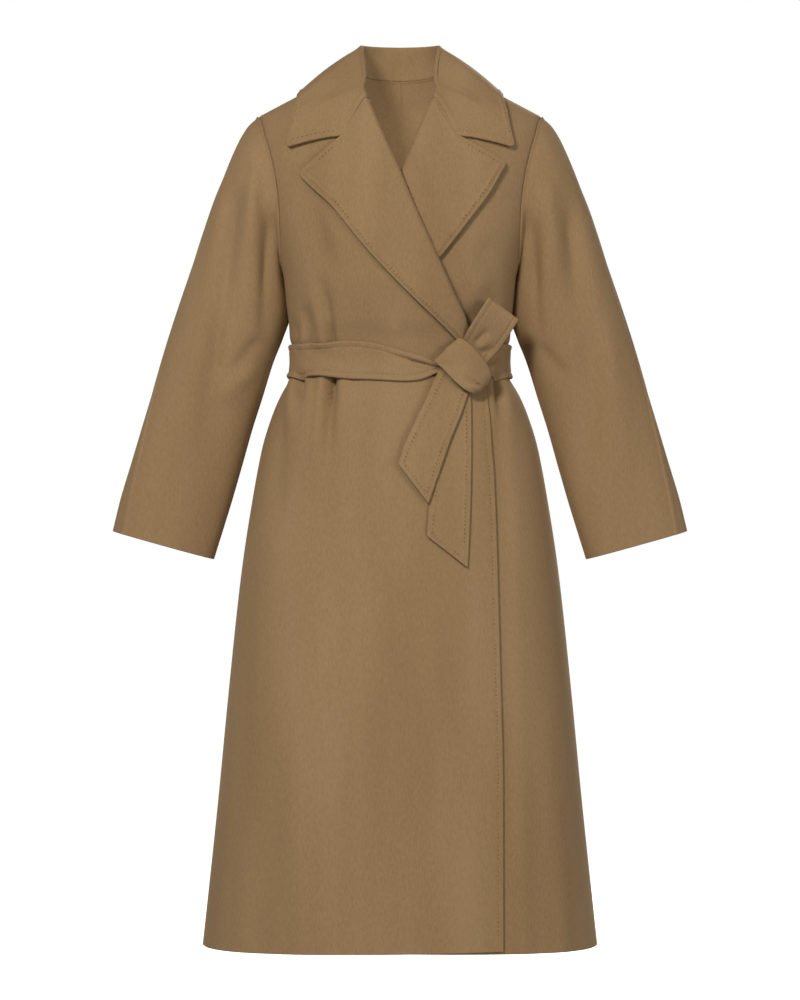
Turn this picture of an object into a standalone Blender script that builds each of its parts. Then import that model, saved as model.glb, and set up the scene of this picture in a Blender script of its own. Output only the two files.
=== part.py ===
"""A belted wrap coat, filled out as if worn, with nobody in it: cloth panels, sleeves, collar, lapels and tied belt.

Metres, +Z up, the coat faces -Y. The origin is between the shoulders, at the height of the neck's base.
Tables hold sizes for one half; "own" x counts from the middle towards the piece's own side seam.
"""

import math
from collections import namedtuple

import bmesh
import bpy
from mathutils import Vector
from mathutils.bvhtree import BVHTree

MM = 0.001
CLOTH_WALL = 2.0 * MM
BELT_WALL = 4.0 * MM
LOOP_WALL = 2.6 * MM
SEAM_GAP = 0.35 * MM
SQUARENESS = 0.03
NECK_X, NECK_Z = 0.060, 0.012
TIP_X, TIP_Z = 0.198, -0.0605
PIT_X, PIT_Z = 0.163, -0.285
ARMHOLE_FRONT, ARMHOLE_BACK = 0.070, 0.075
SLEEVE_START, SLEEVE_START_PIT = 1.7 * MM, 3.2 * MM
LEAF_LIFT = 5.0 * MM
UNDER_DROP = 13.5 * MM
SKIRT_DROP = 4.6 * MM
DROP_START, DROP_RUN_CHEST, DROP_RUN_SKIRT = 0.008, 0.048, 0.022
WAIST_Z = -0.402
HEM_SIDE_Z, HEM_FRONT_Z, HEM_BACK_Z = -1.2155, -1.2075, -1.2110

Width = namedtuple("Width", "z half_width")
Depth = namedtuple("Depth", "z front back")
Line = namedtuple("Line", "z x")
Row = namedtuple("Row", "outer_z inner_z")
Ring = namedtuple("Ring", "out_x out_z in_x in_z depth seam_turn")
Fold = namedtuple("Fold", "x0 z0 x1 z1 width height")
LapelRow = namedtuple("LapelRow", "roll_x roll_z edge_x edge_z")
CollarRow = namedtuple("CollarRow", "fold_x fold_y fold_z seam_x seam_z edge_x edge_z turn")
BeltStation = namedtuple("BeltStation", "x top bottom lift")
Corner = namedtuple("Corner", "x z")

BODY_WIDTHS = [
    Width(-1.2155, 0.2750), Width(-1.155, 0.2684), Width(-1.015, 0.2535), Width(-0.875, 0.2400),
    Width(-0.735, 0.2255), Width(-0.668, 0.2170), Width(-0.601, 0.2065), Width(-0.550, 0.1975),
    Width(-0.517, 0.1905), Width(-0.483, 0.1800), Width(-0.460, 0.1710), Width(-0.444, 0.1630),
    Width(-0.431, 0.1550), Width(-0.422, 0.1500), Width(-0.402, 0.1480), Width(-0.383, 0.1490),
    Width(-0.370, 0.1530), Width(-0.350, 0.1545), Width(-0.320, 0.1590), Width(-0.285, 0.1630),
]
BODY_DEPTHS = [
    Depth(-1.2155, 0.173, 0.178), Depth(-1.00, 0.160, 0.168), Depth(-0.80, 0.147, 0.160),
    Depth(-0.62, 0.134, 0.150), Depth(-0.52, 0.125, 0.138), Depth(-0.46, 0.115, 0.120),
    Depth(-0.43, 0.104, 0.106), Depth(-0.402, 0.100, 0.100), Depth(-0.375, 0.105, 0.104),
    Depth(-0.345, 0.117, 0.113), Depth(-0.29, 0.128, 0.124), Depth(-0.24, 0.129, 0.131),
    Depth(-0.18, 0.121, 0.132), Depth(-0.138, 0.1135, 0.127), Depth(-0.10, 0.103, 0.119),
    Depth(-0.07, 0.093, 0.108), Depth(-0.042, 0.079, 0.093), Depth(-0.022, 0.060, 0.078),
    Depth(-0.004, 0.042, 0.067), Depth(0.012, 0.031, 0.060),
]
ARMHOLE = [
    Line(-0.2850, 0.1630), Line(-0.260, 0.1645), Line(-0.220, 0.1665), Line(-0.180, 0.1685),
    Line(-0.150, 0.1725), Line(-0.120, 0.1790), Line(-0.100, 0.1852), Line(-0.080, 0.1922),
    Line(-0.0605, 0.1980),
]
# The front's free edge from hem to break point, then the roll line, then the neckline; own x.
FRONT_EDGE = [
    Line(-1.2075, -0.1400), Line(-0.990, -0.1400), Line(-0.799, -0.1358), Line(-0.573, -0.1292),
    Line(-0.517, -0.1250), Line(-0.439, -0.1170), Line(-0.403, -0.1070), Line(-0.359, -0.0905),
    Line(-0.318, -0.0718), Line(-0.263, -0.0470), Line(-0.2405, -0.0362), Line(-0.138, 0.0071),
    Line(-0.042, 0.0483), Line(-0.022, 0.0555), Line(-0.004, 0.0598), Line(0.012, 0.0600),
]
BACK_NECK = [Line(-0.002, 0.0), Line(-0.001, 0.020), Line(0.001, 0.040), Line(0.006, 0.0545), Line(0.012, 0.060)]
SKIRT_HEIGHTS = (-1.10, -0.98, -0.86, -0.75, -0.65, -0.57, -0.51, -0.475, -0.452, -0.438, -0.4265, -0.415)
WAIST_HEIGHTS = (-0.402, -0.390, -0.3785, -0.367, -0.352)
FRONT_ROWS = [Row(HEM_SIDE_Z, HEM_FRONT_Z)] + [Row(z, z) for z in SKIRT_HEIGHTS + WAIST_HEIGHTS] + [
    Row(-0.330, -0.323), Row(-0.308, -0.292), Row(-0.285, -0.257), Row(-0.260, -0.222), Row(-0.235, -0.188),
    Row(-0.210, -0.156), Row(-0.185, -0.128), Row(-0.160, -0.103), Row(-0.137, -0.080), Row(-0.117, -0.060),
    Row(-0.100, -0.042), Row(-0.087, -0.030), Row(-0.077, -0.018), Row(-0.069, -0.006), Row(-0.0635, 0.004),
    Row(TIP_Z, NECK_Z),
]
BACK_ROWS = [Row(HEM_SIDE_Z, HEM_BACK_Z)] + [Row(z, z) for z in SKIRT_HEIGHTS + WAIST_HEIGHTS] + [
    Row(-0.330, -0.323), Row(-0.308, -0.287), Row(-0.285, -0.247), Row(-0.260, -0.205), Row(-0.235, -0.163),
    Row(-0.210, -0.122), Row(-0.185, -0.085), Row(-0.160, -0.052), Row(-0.137, -0.024), Row(-0.117, -0.002),
    Row(-0.100, -0.0014), Row(-0.087, -0.0002), Row(-0.077, 0.0020), Row(-0.069, 0.0055), Row(-0.0635, 0.0090),
    Row(TIP_Z, NECK_Z),
]
# The sleeve's outer and inner edges as rings from the armhole to the cuff; own x.
SLEEVE_RINGS = [
    Ring(0.1980, -0.0605, 0.1630, -0.2850, 0.072, -35), Ring(0.2108, -0.0720, 0.1672, -0.2880, 0.072, -33),
    Ring(0.2225, -0.0900, 0.1672, -0.2960, 0.072, -31), Ring(0.2339, -0.1140, 0.1662, -0.3080, 0.072, -28),
    Ring(0.2450, -0.1410, 0.1648, -0.3230, 0.071, -25), Ring(0.2600, -0.1800, 0.1632, -0.3400, 0.069, -20),
    Ring(0.2778, -0.2310, 0.1685, -0.3680, 0.065, -14), Ring(0.2955, -0.2870, 0.1795, -0.4020, 0.060, -8),
    Ring(0.3223, -0.3710, 0.1950, -0.4520, 0.053, 2), Ring(0.3399, -0.4270, 0.2090, -0.4960, 0.048, 11),
    Ring(0.3571, -0.4830, 0.2228, -0.5450, 0.044, 20), Ring(0.3738, -0.5390, 0.2378, -0.5970, 0.041, 27),
    Ring(0.3906, -0.5950, 0.2520, -0.6430, 0.038, 34), Ring(0.4012, -0.6384, 0.2626, -0.6770, 0.036, 38),
]
# Largest folds of the fronts as world x, from one end to the other; a trough's height is negative.
FRONT_FOLDS = [
    Fold(-0.092, -0.428, -0.104, -0.545, 0.010, -3.2 * MM), Fold(-0.139, -0.428, -0.143, -0.452, 0.006, -2.0 * MM),
    Fold(-0.165, -0.470, -0.178, -0.660, 0.016, -2.5 * MM), Fold(-0.118, -0.440, -0.135, -0.620, 0.014, 2.2 * MM),
    Fold(0.137, -0.430, 0.146, -0.462, 0.006, -2.2 * MM), Fold(-0.111, -0.300, -0.095, -0.374, 0.010, -2.6 * MM),
    Fold(-0.131, -0.335, -0.128, -0.374, 0.008, -2.0 * MM), Fold(0.118, -0.310, 0.110, -0.374, 0.010, -2.2 * MM),
]
BACK_FOLDS = [
    Fold(-0.060, -0.428, -0.072, -0.560, 0.012, -3.0 * MM), Fold(0.066, -0.428, 0.080, -0.570, 0.012, -3.0 * MM),
    Fold(-0.110, -0.428, -0.130, -0.520, 0.010, -2.6 * MM), Fold(0.112, -0.428, 0.128, -0.530, 0.010, -2.6 * MM),
    Fold(-0.070, -0.300, -0.062, -0.374, 0.010, -2.4 * MM), Fold(0.078, -0.290, 0.068, -0.374, 0.010, -2.4 * MM),
]
OVER_LAPEL = [
    LapelRow(0.0483, -0.0430, 0.1390, -0.1460), LapelRow(0.0384, -0.0660, 0.1325, -0.1545),
    LapelRow(0.0237, -0.1010, 0.1145, -0.1720), LapelRow(0.0071, -0.1375, 0.0932, -0.1920),
    LapelRow(-0.0135, -0.1885, 0.0745, -0.2155), LapelRow(-0.0362, -0.2395, 0.0500, -0.2460),
    LapelRow(-0.0538, -0.2780, 0.0158, -0.2835), LapelRow(-0.0718, -0.3180, -0.0197, -0.3190),
    LapelRow(-0.0828, -0.3400, -0.0497, -0.3470), LapelRow(-0.0900, -0.3575, -0.0770, -0.3700),
]
UNDER_LAPEL = [
    LapelRow(0.0483, -0.0430, 0.1465, -0.1320), LapelRow(0.0384, -0.0660, 0.1405, -0.1410),
    LapelRow(0.0237, -0.1010, 0.1240, -0.1710), LapelRow(0.0085, -0.1375, 0.1020, -0.2010),
    LapelRow(-0.0120, -0.1885, 0.0800, -0.2300), LapelRow(-0.0362, -0.2395, 0.0553, -0.2605),
    LapelRow(-0.0538, -0.2780, 0.0200, -0.2930), LapelRow(-0.0718, -0.3180, -0.0170, -0.3270),
    LapelRow(-0.0828, -0.3400, -0.0470, -0.3510), LapelRow(-0.0900, -0.3575, -0.0765, -0.3680),
]
GORGE_CORNER, GORGE_TOP = Corner(0.0790, -0.0935), Corner(0.0495, -0.0395)
COLLAR_PARTS = 2
# The rolled edge's section in millimetres: across the roll line towards the own side, and out from the front.
ROLL_HOOK = [(-0.8, -4.2), (-2.9, -2.8), (-3.6, -0.2), (-2.1, 2.9), (1.6, 4.8)]
# The collar from the centre back to its front end. The edge's turn is 0 on the back, 1 on the front.
COLLAR_ROWS = [
    CollarRow(0.0000, 0.066, 0.0440, 0.0000, -0.0020, 0.0000, -0.0520, 0.0),
    CollarRow(0.0210, 0.063, 0.0440, 0.0200, -0.0010, 0.0480, -0.0515, 0.0),
    CollarRow(0.0400, 0.050, 0.0434, 0.0400, 0.0010, 0.0980, -0.0485, 0.0),
    CollarRow(0.0545, 0.026, 0.0422, 0.0545, 0.0060, 0.1310, -0.0400, 0.0),
    CollarRow(0.0552, 0.004, 0.0370, 0.0600, 0.0120, 0.1412, -0.0307, 0.5),
    CollarRow(0.0535, -0.014, 0.0250, 0.0598, 0.0040, 0.1436, -0.0420, 1.0),
    CollarRow(0.0508, -0.034, 0.0063, 0.0594, -0.0060, 0.1462, -0.0580, 1.0),
    CollarRow(0.0485, -0.056, -0.0170, 0.0566, -0.0180, 0.1500, -0.0800, 1.0),
    CollarRow(0.0470, -0.0755, -0.0395, 0.0512, -0.0340, 0.1550, -0.1065, 1.0),
]
BELT_TOP, BELT_BOTTOM = -0.3785, -0.4265
BELT_LIFT = 4.7 * MM
BELT_LEFT = [
    BeltStation(0.092, -0.398, -0.418, 5.2 * MM), BeltStation(0.066, -0.3985, -0.4205, 4.8 * MM),
    BeltStation(0.049, -0.4065, -0.4210, 4.6 * MM), BeltStation(0.030, -0.3990, -0.4285, 4.4 * MM),
    BeltStation(0.005, -0.3920, -0.4310, 4.2 * MM), BeltStation(-0.034, -0.3810, -0.4290, 4.0 * MM),
    BeltStation(-0.074, -0.3775, -0.4275, 3.9 * MM),
]
KNOT = [
    Corner(0.0473, -0.4045), Corner(0.0807, -0.3732), Corner(0.0981, -0.3850), Corner(0.1190, -0.4101),
    Corner(0.1239, -0.4241), Corner(0.1163, -0.4400), Corner(0.1037, -0.4485), Corner(0.0870, -0.4422),
    Corner(0.0563, -0.4129),
]
# Strips as pairs of corners across the belt's width, from the knot outwards.
StripRow = namedtuple("StripRow", "left_x left_z right_x right_z lift")
TAIL_FRONT = [
    StripRow(0.0572, -0.4125, 0.0935, -0.4415, 9.6 * MM), StripRow(0.0530, -0.4210, 0.0905, -0.4540, 10.0 * MM),
    StripRow(0.0360, -0.4580, 0.0815, -0.4800, 10.4 * MM), StripRow(0.0180, -0.4960, 0.0690, -0.5100, 10.6 * MM),
    StripRow(0.0070, -0.5200, 0.0550, -0.5500, 10.4 * MM), StripRow(-0.0016, -0.5460, 0.0385, -0.5985, 10.0 * MM),
]
TAIL_BACK = [
    StripRow(0.0640, -0.4320, 0.0960, -0.4520, 4.3 * MM), StripRow(0.0600, -0.4600, 0.0965, -0.4670, 4.3 * MM),
    StripRow(0.0530, -0.5000, 0.0968, -0.5080, 4.3 * MM), StripRow(0.0460, -0.5500, 0.0962, -0.5620, 4.3 * MM),
    StripRow(0.0405, -0.6000, 0.0945, -0.6240, 4.2 * MM), StripRow(0.0372, -0.6440, 0.0915, -0.6860, 4.2 * MM),
]
LOOP_FRONT = [
    StripRow(0.0855, -0.3800, 0.1155, -0.4080, 10.4 * MM), StripRow(0.0895, -0.3705, 0.1225, -0.4020, 13.5 * MM),
    StripRow(0.0985, -0.3560, 0.1360, -0.3865, 17.0 * MM), StripRow(0.1100, -0.3370, 0.1490, -0.3680, 18.0 * MM),
    StripRow(0.1190, -0.3235, 0.1590, -0.3520, 17.6 * MM), StripRow(0.1212, -0.3195, 0.1618, -0.3480, 15.6 * MM),
]
LOOP_BACK = [
    StripRow(0.1218, -0.3190, 0.1622, -0.3475, 12.6 * MM), StripRow(0.1195, -0.3215, 0.1600, -0.3500, 9.8 * MM),
    StripRow(0.1075, -0.3400, 0.1465, -0.3680, 8.8 * MM), StripRow(0.0985, -0.3540, 0.1355, -0.3840, 8.7 * MM),
    StripRow(0.0925, -0.3640, 0.1280, -0.3950, 8.7 * MM),
]
KNOT_LEVELS = [(0.90, 12.8), (1.0, 15.0), (0.93, 19.0), (0.72, 22.0), (0.40, 24.0)]

WOOL = (0.273, 0.168, 0.086, 1.0)
slopes = {}
kept = []


def smooth(rows, field, at):
    """Value of a column at a height, through the rows without overshoot; rows rise in their z or first column."""
    key = (id(rows), field)
    if key not in slopes:
        xs = [row[0] for row in rows]
        ys = [getattr(row, field) for row in rows]
        runs = [(ys[i + 1] - ys[i]) / (xs[i + 1] - xs[i]) for i in range(len(xs) - 1)]
        tangents = [runs[0]]
        for low, high in zip(runs, runs[1:]):
            tangents.append(0.0 if low * high <= 0 else 2 * low * high / (low + high))
        slopes[key] = (xs, ys, tangents + [runs[-1]])
    xs, ys, tangents = slopes[key]
    at = min(max(at, xs[0]), xs[-1])
    i = next(k for k in range(len(xs) - 1) if at <= xs[k + 1])
    run = xs[i + 1] - xs[i]
    t = (at - xs[i]) / run
    return (
        ys[i] * (1 + 2 * t) * (1 - t) ** 2 + ys[i + 1] * t * t * (3 - 2 * t)
        + run * tangents[i] * t * (1 - t) ** 2 - run * tangents[i + 1] * t * t * (1 - t)
    )


def refined(rows, parts):
    """The same table with rows added between its rows, by a smooth curve through each column."""
    kind = type(rows[0])
    numbered = namedtuple("Numbered", ("number",) + kind._fields)
    table = [numbered(number, *row) for number, row in enumerate(rows)]
    kept.append(table)
    places = [k / parts for k in range((len(rows) - 1) * parts + 1)]
    return [kind(*(smooth(table, field, place) for field in kind._fields)) for place in places]


def ease(low, high, value):
    t = min(max((value - low) / (high - low), 0.0), 1.0)
    return t * t * (3 - 2 * t)


def mix(a, b, share):
    return a + (b - a) * share


def bow(angle):
    """Share of the half width at an angle from the front, a little squarer than a sine."""
    return (math.sin(angle) + SQUARENESS * math.sin(3 * angle)) / (1 - SQUARENESS)


def unbow(share):
    """The angle whose bow is this share."""
    share = min(max(share, -1.0), 1.0)
    s = share
    for _ in range(6):
        value = ((1 + 3 * SQUARENESS) * s - 4 * SQUARENESS * s**3) / (1 - SQUARENESS) - share
        s -= value * (1 - SQUARENESS) / (1 + 3 * SQUARENESS - 12 * SQUARENESS * s * s)
        s = min(max(s, -1.0), 1.0)
    return math.asin(s)


def half_depth(z, front):
    return smooth(BODY_DEPTHS, "front" if front else "back", z)


def armhole_angle(z, front):
    """Angle at which the armhole's edge cuts the body's section at this height."""
    middle, reach = (TIP_Z + PIT_Z) / 2, (TIP_Z - PIT_Z) / 2
    share = min(max((z - middle) / reach, -1.0), 1.0)
    depth = (ARMHOLE_FRONT if front else ARMHOLE_BACK) * math.sqrt(1 - share * share)
    return math.pi / 2 - unbow(depth / half_depth(z, front))


def exact_width(z, front):
    if z <= PIT_Z:
        return smooth(BODY_WIDTHS, "half_width", z)
    if z >= TIP_Z:
        return NECK_X + (NECK_Z - z) * (TIP_X - NECK_X) / (NECK_Z - TIP_Z)
    return smooth(ARMHOLE, "x", z) / bow(armhole_angle(z, front))


def half_width(z, front, angle):
    """The section's half width; away from the side it is averaged over the height, so no crease runs to the pit."""
    exact = exact_width(z, front)
    share = ease(math.radians(88), math.radians(50), abs(angle))
    if share <= 0 or not PIT_Z - 0.06 < z < TIP_Z + 0.05:
        return exact
    around = [exact_width(min(z + step, NECK_Z), front) for step in (-0.03, -0.015, 0.015, 0.03)]
    inside = ease(PIT_Z - 0.06, PIT_Z - 0.03, z) * ease(TIP_Z + 0.05, TIP_Z + 0.02, z)
    return mix(exact, (exact + sum(around)) / 5, share * inside)


def fold_height(x, z, folds):
    """Sum of the soft ridges and troughs at a place of the front or back."""
    total = 0.0
    for fold in folds:
        run = Vector((fold.x1 - fold.x0, fold.z1 - fold.z0))
        place = Vector((x - fold.x0, z - fold.z0))
        along = place.dot(run) / run.length_squared
        if not -0.25 < along < 1.0:
            continue
        across = abs(place.x * run.y - place.y * run.x) / run.length
        width = fold.width * (1 + max(along, 0.0))
        fade = ease(-0.25, 0.05, along) * ease(1.0, 0.35, along)
        total += fold.height * math.exp(-((across / width) ** 2)) * fade
    return total


def raw_surface(angle, z, front):
    width = half_width(z, front, angle)
    depth = half_depth(z, front)
    y = depth * bow(math.pi / 2 - angle)
    return Vector((width * bow(angle), -y if front else y, z))


def surface(angle, z, front, lift=0.0):
    """A point of the cloth's middle surface, moved out along its normal by the lift and the folds."""
    d_angle, d_z = 0.01, 0.002
    by_angle = raw_surface(angle + d_angle, z, front) - raw_surface(angle - d_angle, z, front)
    by_z = raw_surface(angle, z + d_z, front) - raw_surface(angle, z - d_z, front)
    normal = by_angle.cross(by_z).normalized()
    place = raw_surface(angle, z, front)
    middle = Vector((0, -0.001 if front else 0.001, 0)) + Vector((place.x, place.y, 0))
    if normal.dot(middle) < 0:
        normal.negate()
    folds = FRONT_FOLDS if front else BACK_FOLDS
    side = ease(math.radians(90), math.radians(75), abs(angle))
    return place + normal * (lift + fold_height(place.x, z, folds) * side)


def angle_at(x, z, front):
    angle = unbow(x / exact_width(z, front))
    for _ in range(3):
        angle = unbow(x / half_width(z, front, angle))
    return angle


def on_coat(x, z, front, lift=0.0):
    """The point at this place of the front or back view, this far outside the cloth's middle surface."""
    angle = angle_at(x, z, front)
    base = surface(angle, z, front)
    out = surface(angle, z, front, 1.0 * MM) - base
    return base + Vector((0, -1 if front else 1, 0)) * lift / max(abs(out.y) / MM, 0.45)


def under_drop(x, z):
    """How far the under front's cloth lies inside, where the over front covers it; world x."""
    edge = -smooth(FRONT_EDGE, "x", z)
    chest = ease(WAIST_Z, -0.345, z)
    depth = mix(SKIRT_DROP, UNDER_DROP, chest) * ease(-0.03, -0.13, z)
    run = mix(DROP_RUN_SKIRT, DROP_RUN_CHEST, chest)
    return depth * ease(edge + run + DROP_START, edge + DROP_START, x)


def sheet(name, grid, wall, smooth_shade=True):
    """A closed solid of a wall's thickness about a grid of points, as a new object."""
    rows, columns = len(grid), len(grid[0])
    at = lambda i, j: grid[min(max(i, 0), rows - 1)][min(max(j, 0), columns - 1)]
    mesh = bmesh.new()
    skins = []
    for way in (0.5, -0.5):
        skin = []
        for i in range(rows):
            line = []
            for j in range(columns):
                along = at(i, j + 1) - at(i, j - 1)
                up = at(i + 1, j) - at(i - 1, j)
                normal = along.cross(up).normalized()
                line.append(mesh.verts.new(grid[i][j] + normal * wall * way))
            skin.append(line)
        skins.append(skin)
    outer, inner = skins
    for i in range(rows - 1):
        for j in range(columns - 1):
            mesh.faces.new((outer[i][j], outer[i][j + 1], outer[i + 1][j + 1], outer[i + 1][j]))
            mesh.faces.new((inner[i][j], inner[i + 1][j], inner[i + 1][j + 1], inner[i][j + 1]))
    for i in range(rows - 1):
        mesh.faces.new((outer[i][0], outer[i + 1][0], inner[i + 1][0], inner[i][0]))
        mesh.faces.new((outer[i][-1], inner[i][-1], inner[i + 1][-1], outer[i + 1][-1]))
    for j in range(columns - 1):
        mesh.faces.new((outer[0][j], inner[0][j], inner[0][j + 1], outer[0][j + 1]))
        mesh.faces.new((outer[-1][j], outer[-1][j + 1], inner[-1][j + 1], inner[-1][j]))
    return finish(name, mesh)


def finish(name, mesh):
    bmesh.ops.recalc_face_normals(mesh, faces=mesh.faces)
    data = bpy.data.meshes.new(name)
    mesh.to_mesh(data)
    mesh.free()
    made = bpy.data.objects.new(name, data)
    bpy.context.scene.collection.objects.link(made)
    data.shade_smooth()
    data.set_sharp_from_angle(angle=math.radians(50))
    wool = bpy.data.materials.new(name + "_wool")
    wool.use_nodes = True
    shader = wool.node_tree.nodes["Principled BSDF"]
    shader.inputs["Base Color"].default_value = WOOL
    shader.inputs["Roughness"].default_value = 0.95
    shader.inputs["Metallic"].default_value = 0.0
    data.materials.append(wool)
    return made


def panel(name, rows, inner_edge, front, side, columns, lift=lambda x, z: 0.0):
    """A body panel: each row runs from the inner edge to the side seam, the armhole or the shoulder's tip."""
    grid = []
    for row in rows:
        inner_x = smooth(inner_edge, "x", row.inner_z)
        start = angle_at(inner_x, row.inner_z, front)
        depth = half_depth(row.inner_z, front)
        start += (0 if inner_x < 0 and row.inner_z < 0 else SEAM_GAP) / exact_width(row.inner_z, front)
        top = row is rows[-1]
        if top:
            start = math.pi / 2 - 2 * SEAM_GAP / depth
        if row.outer_z <= PIT_Z or row.outer_z >= TIP_Z:
            end = math.pi / 2 - 2 * SEAM_GAP / half_depth(row.outer_z, front)
        else:
            end = armhole_angle(row.outer_z, front)
        line = []
        for j in range(columns + 1):
            share = j / columns
            z = mix(row.inner_z, row.outer_z, share)
            angle = mix(start, end, share)
            if top:
                angle = math.pi / 2 - 2 * SEAM_GAP / half_depth(z, front)
            x = side * half_width(z, front, angle) * bow(angle)
            line.append(surface(side * angle, z, front, lift(x, z)))
        grid.append(line)
    return sheet(name, grid, CLOTH_WALL)


def armhole_point(turn, side):
    """Turn 0 is the shoulder's tip, a quarter is the front, a half the pit, three quarters the back."""
    front = math.sin(turn) >= 0
    z = (TIP_Z + PIT_Z) / 2 + (TIP_Z - PIT_Z) / 2 * math.cos(turn)
    return surface(side * armhole_angle(z, front), z, front)


def sleeve_grid(side, front, columns, rings=SLEEVE_RINGS):
    """Rings of the sleeve's front or back half, leaving the armhole's own curve over the first rings."""
    grid = []
    for number, ring in enumerate(rings):
        blend = ease(0, 5, number)
        gap = SEAM_GAP / ring.depth
        start, stop = math.radians(ring.seam_turn) + gap, math.pi - gap
        if not front:
            start, stop = math.pi + gap, 2 * math.pi + math.radians(ring.seam_turn) - gap
        line = []
        for j in range(columns + 1):
            turn = mix(start, stop, j / columns)
            out, inside = Vector((ring.out_x, 0, ring.out_z)), Vector((ring.in_x, 0, ring.in_z))
            middle, reach = (out + inside) / 2, (out - inside) / 2
            oval = middle + reach * math.cos(turn) - Vector((0, ring.depth * math.sin(turn), 0))
            oval.x *= side
            hole = armhole_point(turn, side)
            first = rings[0]
            tip, pit = Vector((first.out_x, 0, first.out_z)), Vector((first.in_x, 0, first.in_z))
            flat = (tip + pit) / 2 + (tip - pit) / 2 * math.cos(turn) - Vector((0, first.depth * math.sin(turn), 0))
            flat.x *= side
            line.append(oval + (hole - flat) * (1 - blend))
        grid.append(line)
    for j in range(columns + 1):
        away = (grid[1][j] - grid[0][j]).normalized()
        low = ease(-0.24, PIT_Z, grid[0][j].z)
        grid[0][j] = grid[0][j] + away * mix(SLEEVE_START, SLEEVE_START_PIT, low)
    return grid


def lapel(name, rows, side, columns, drop, bulge):
    """The front's turned-back part: rolled round the roll line, then lying on the front up to its own edge."""
    corner_share = 3 / 7
    rows = refined(rows, 2)
    first = rows[0]
    grid = []
    for number, row in enumerate(rows):
        roll, edge = Vector((row.roll_x, row.roll_z)), Vector((row.edge_x, row.edge_z))
        after, before = rows[min(number + 1, len(rows) - 1)], rows[max(number - 1, 0)]
        way = Vector((after.roll_x - before.roll_x, after.roll_z - before.roll_z)).normalized()
        across = Vector((-way.y, way.x))
        line = []
        for step, height in ROLL_HOOK:
            place = roll + across * step * MM
            line.append(on_coat(side * place.x, place.y, True, height * MM - drop(side * place.x, place.y)))
        bend = max(1 - number / 5, 0.0) ** 2
        top_roll, top_edge = Vector((first.roll_x, first.roll_z)), Vector((first.edge_x, first.edge_z))
        corner = Vector(GORGE_CORNER) - mix(top_roll, top_edge, corner_share)
        for j in range(1, columns + 1):
            share = j / columns
            tent = share / corner_share if share < corner_share else (1 - share) / (1 - corner_share)
            place = mix(roll + across * 1.6 * MM, edge, share) + corner * bend * tent
            lift = LEAF_LIFT + bulge * math.sin(math.pi * share) * ease(1.0, 0.3, share) * ease(0, 6, number)
            line.append(on_coat(side * place.x, place.y, True, lift - drop(side * place.x, place.y)))
        grid.append(line)
    return sheet(name, grid, CLOTH_WALL)


def body_tree():
    """The coat's upper body as a surface that loose pieces are kept clear of."""
    heights = [mix(-0.62, NECK_Z, k / 90) for k in range(91)]
    turns = [mix(-math.pi / 2, math.pi / 2, k / 40) for k in range(41)]
    points, faces = [], []
    for front in (True, False):
        base = len(points)
        for z in heights:
            points += [surface(turn, z, front) for turn in turns]
        for i in range(len(heights) - 1):
            for j in range(len(turns) - 1):
                a = base + i * len(turns) + j
                face = (a, a + 1, a + 1 + len(turns), a + len(turns))
                faces.append(face if front else face[::-1])
    return BVHTree.FromPolygons(points, faces)


def push_out(place, tree, lift):
    near, normal, _, _ = tree.find_nearest(place)
    short = lift - (place - near).dot(normal)
    return place + normal * short if short > 0 else place


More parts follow.
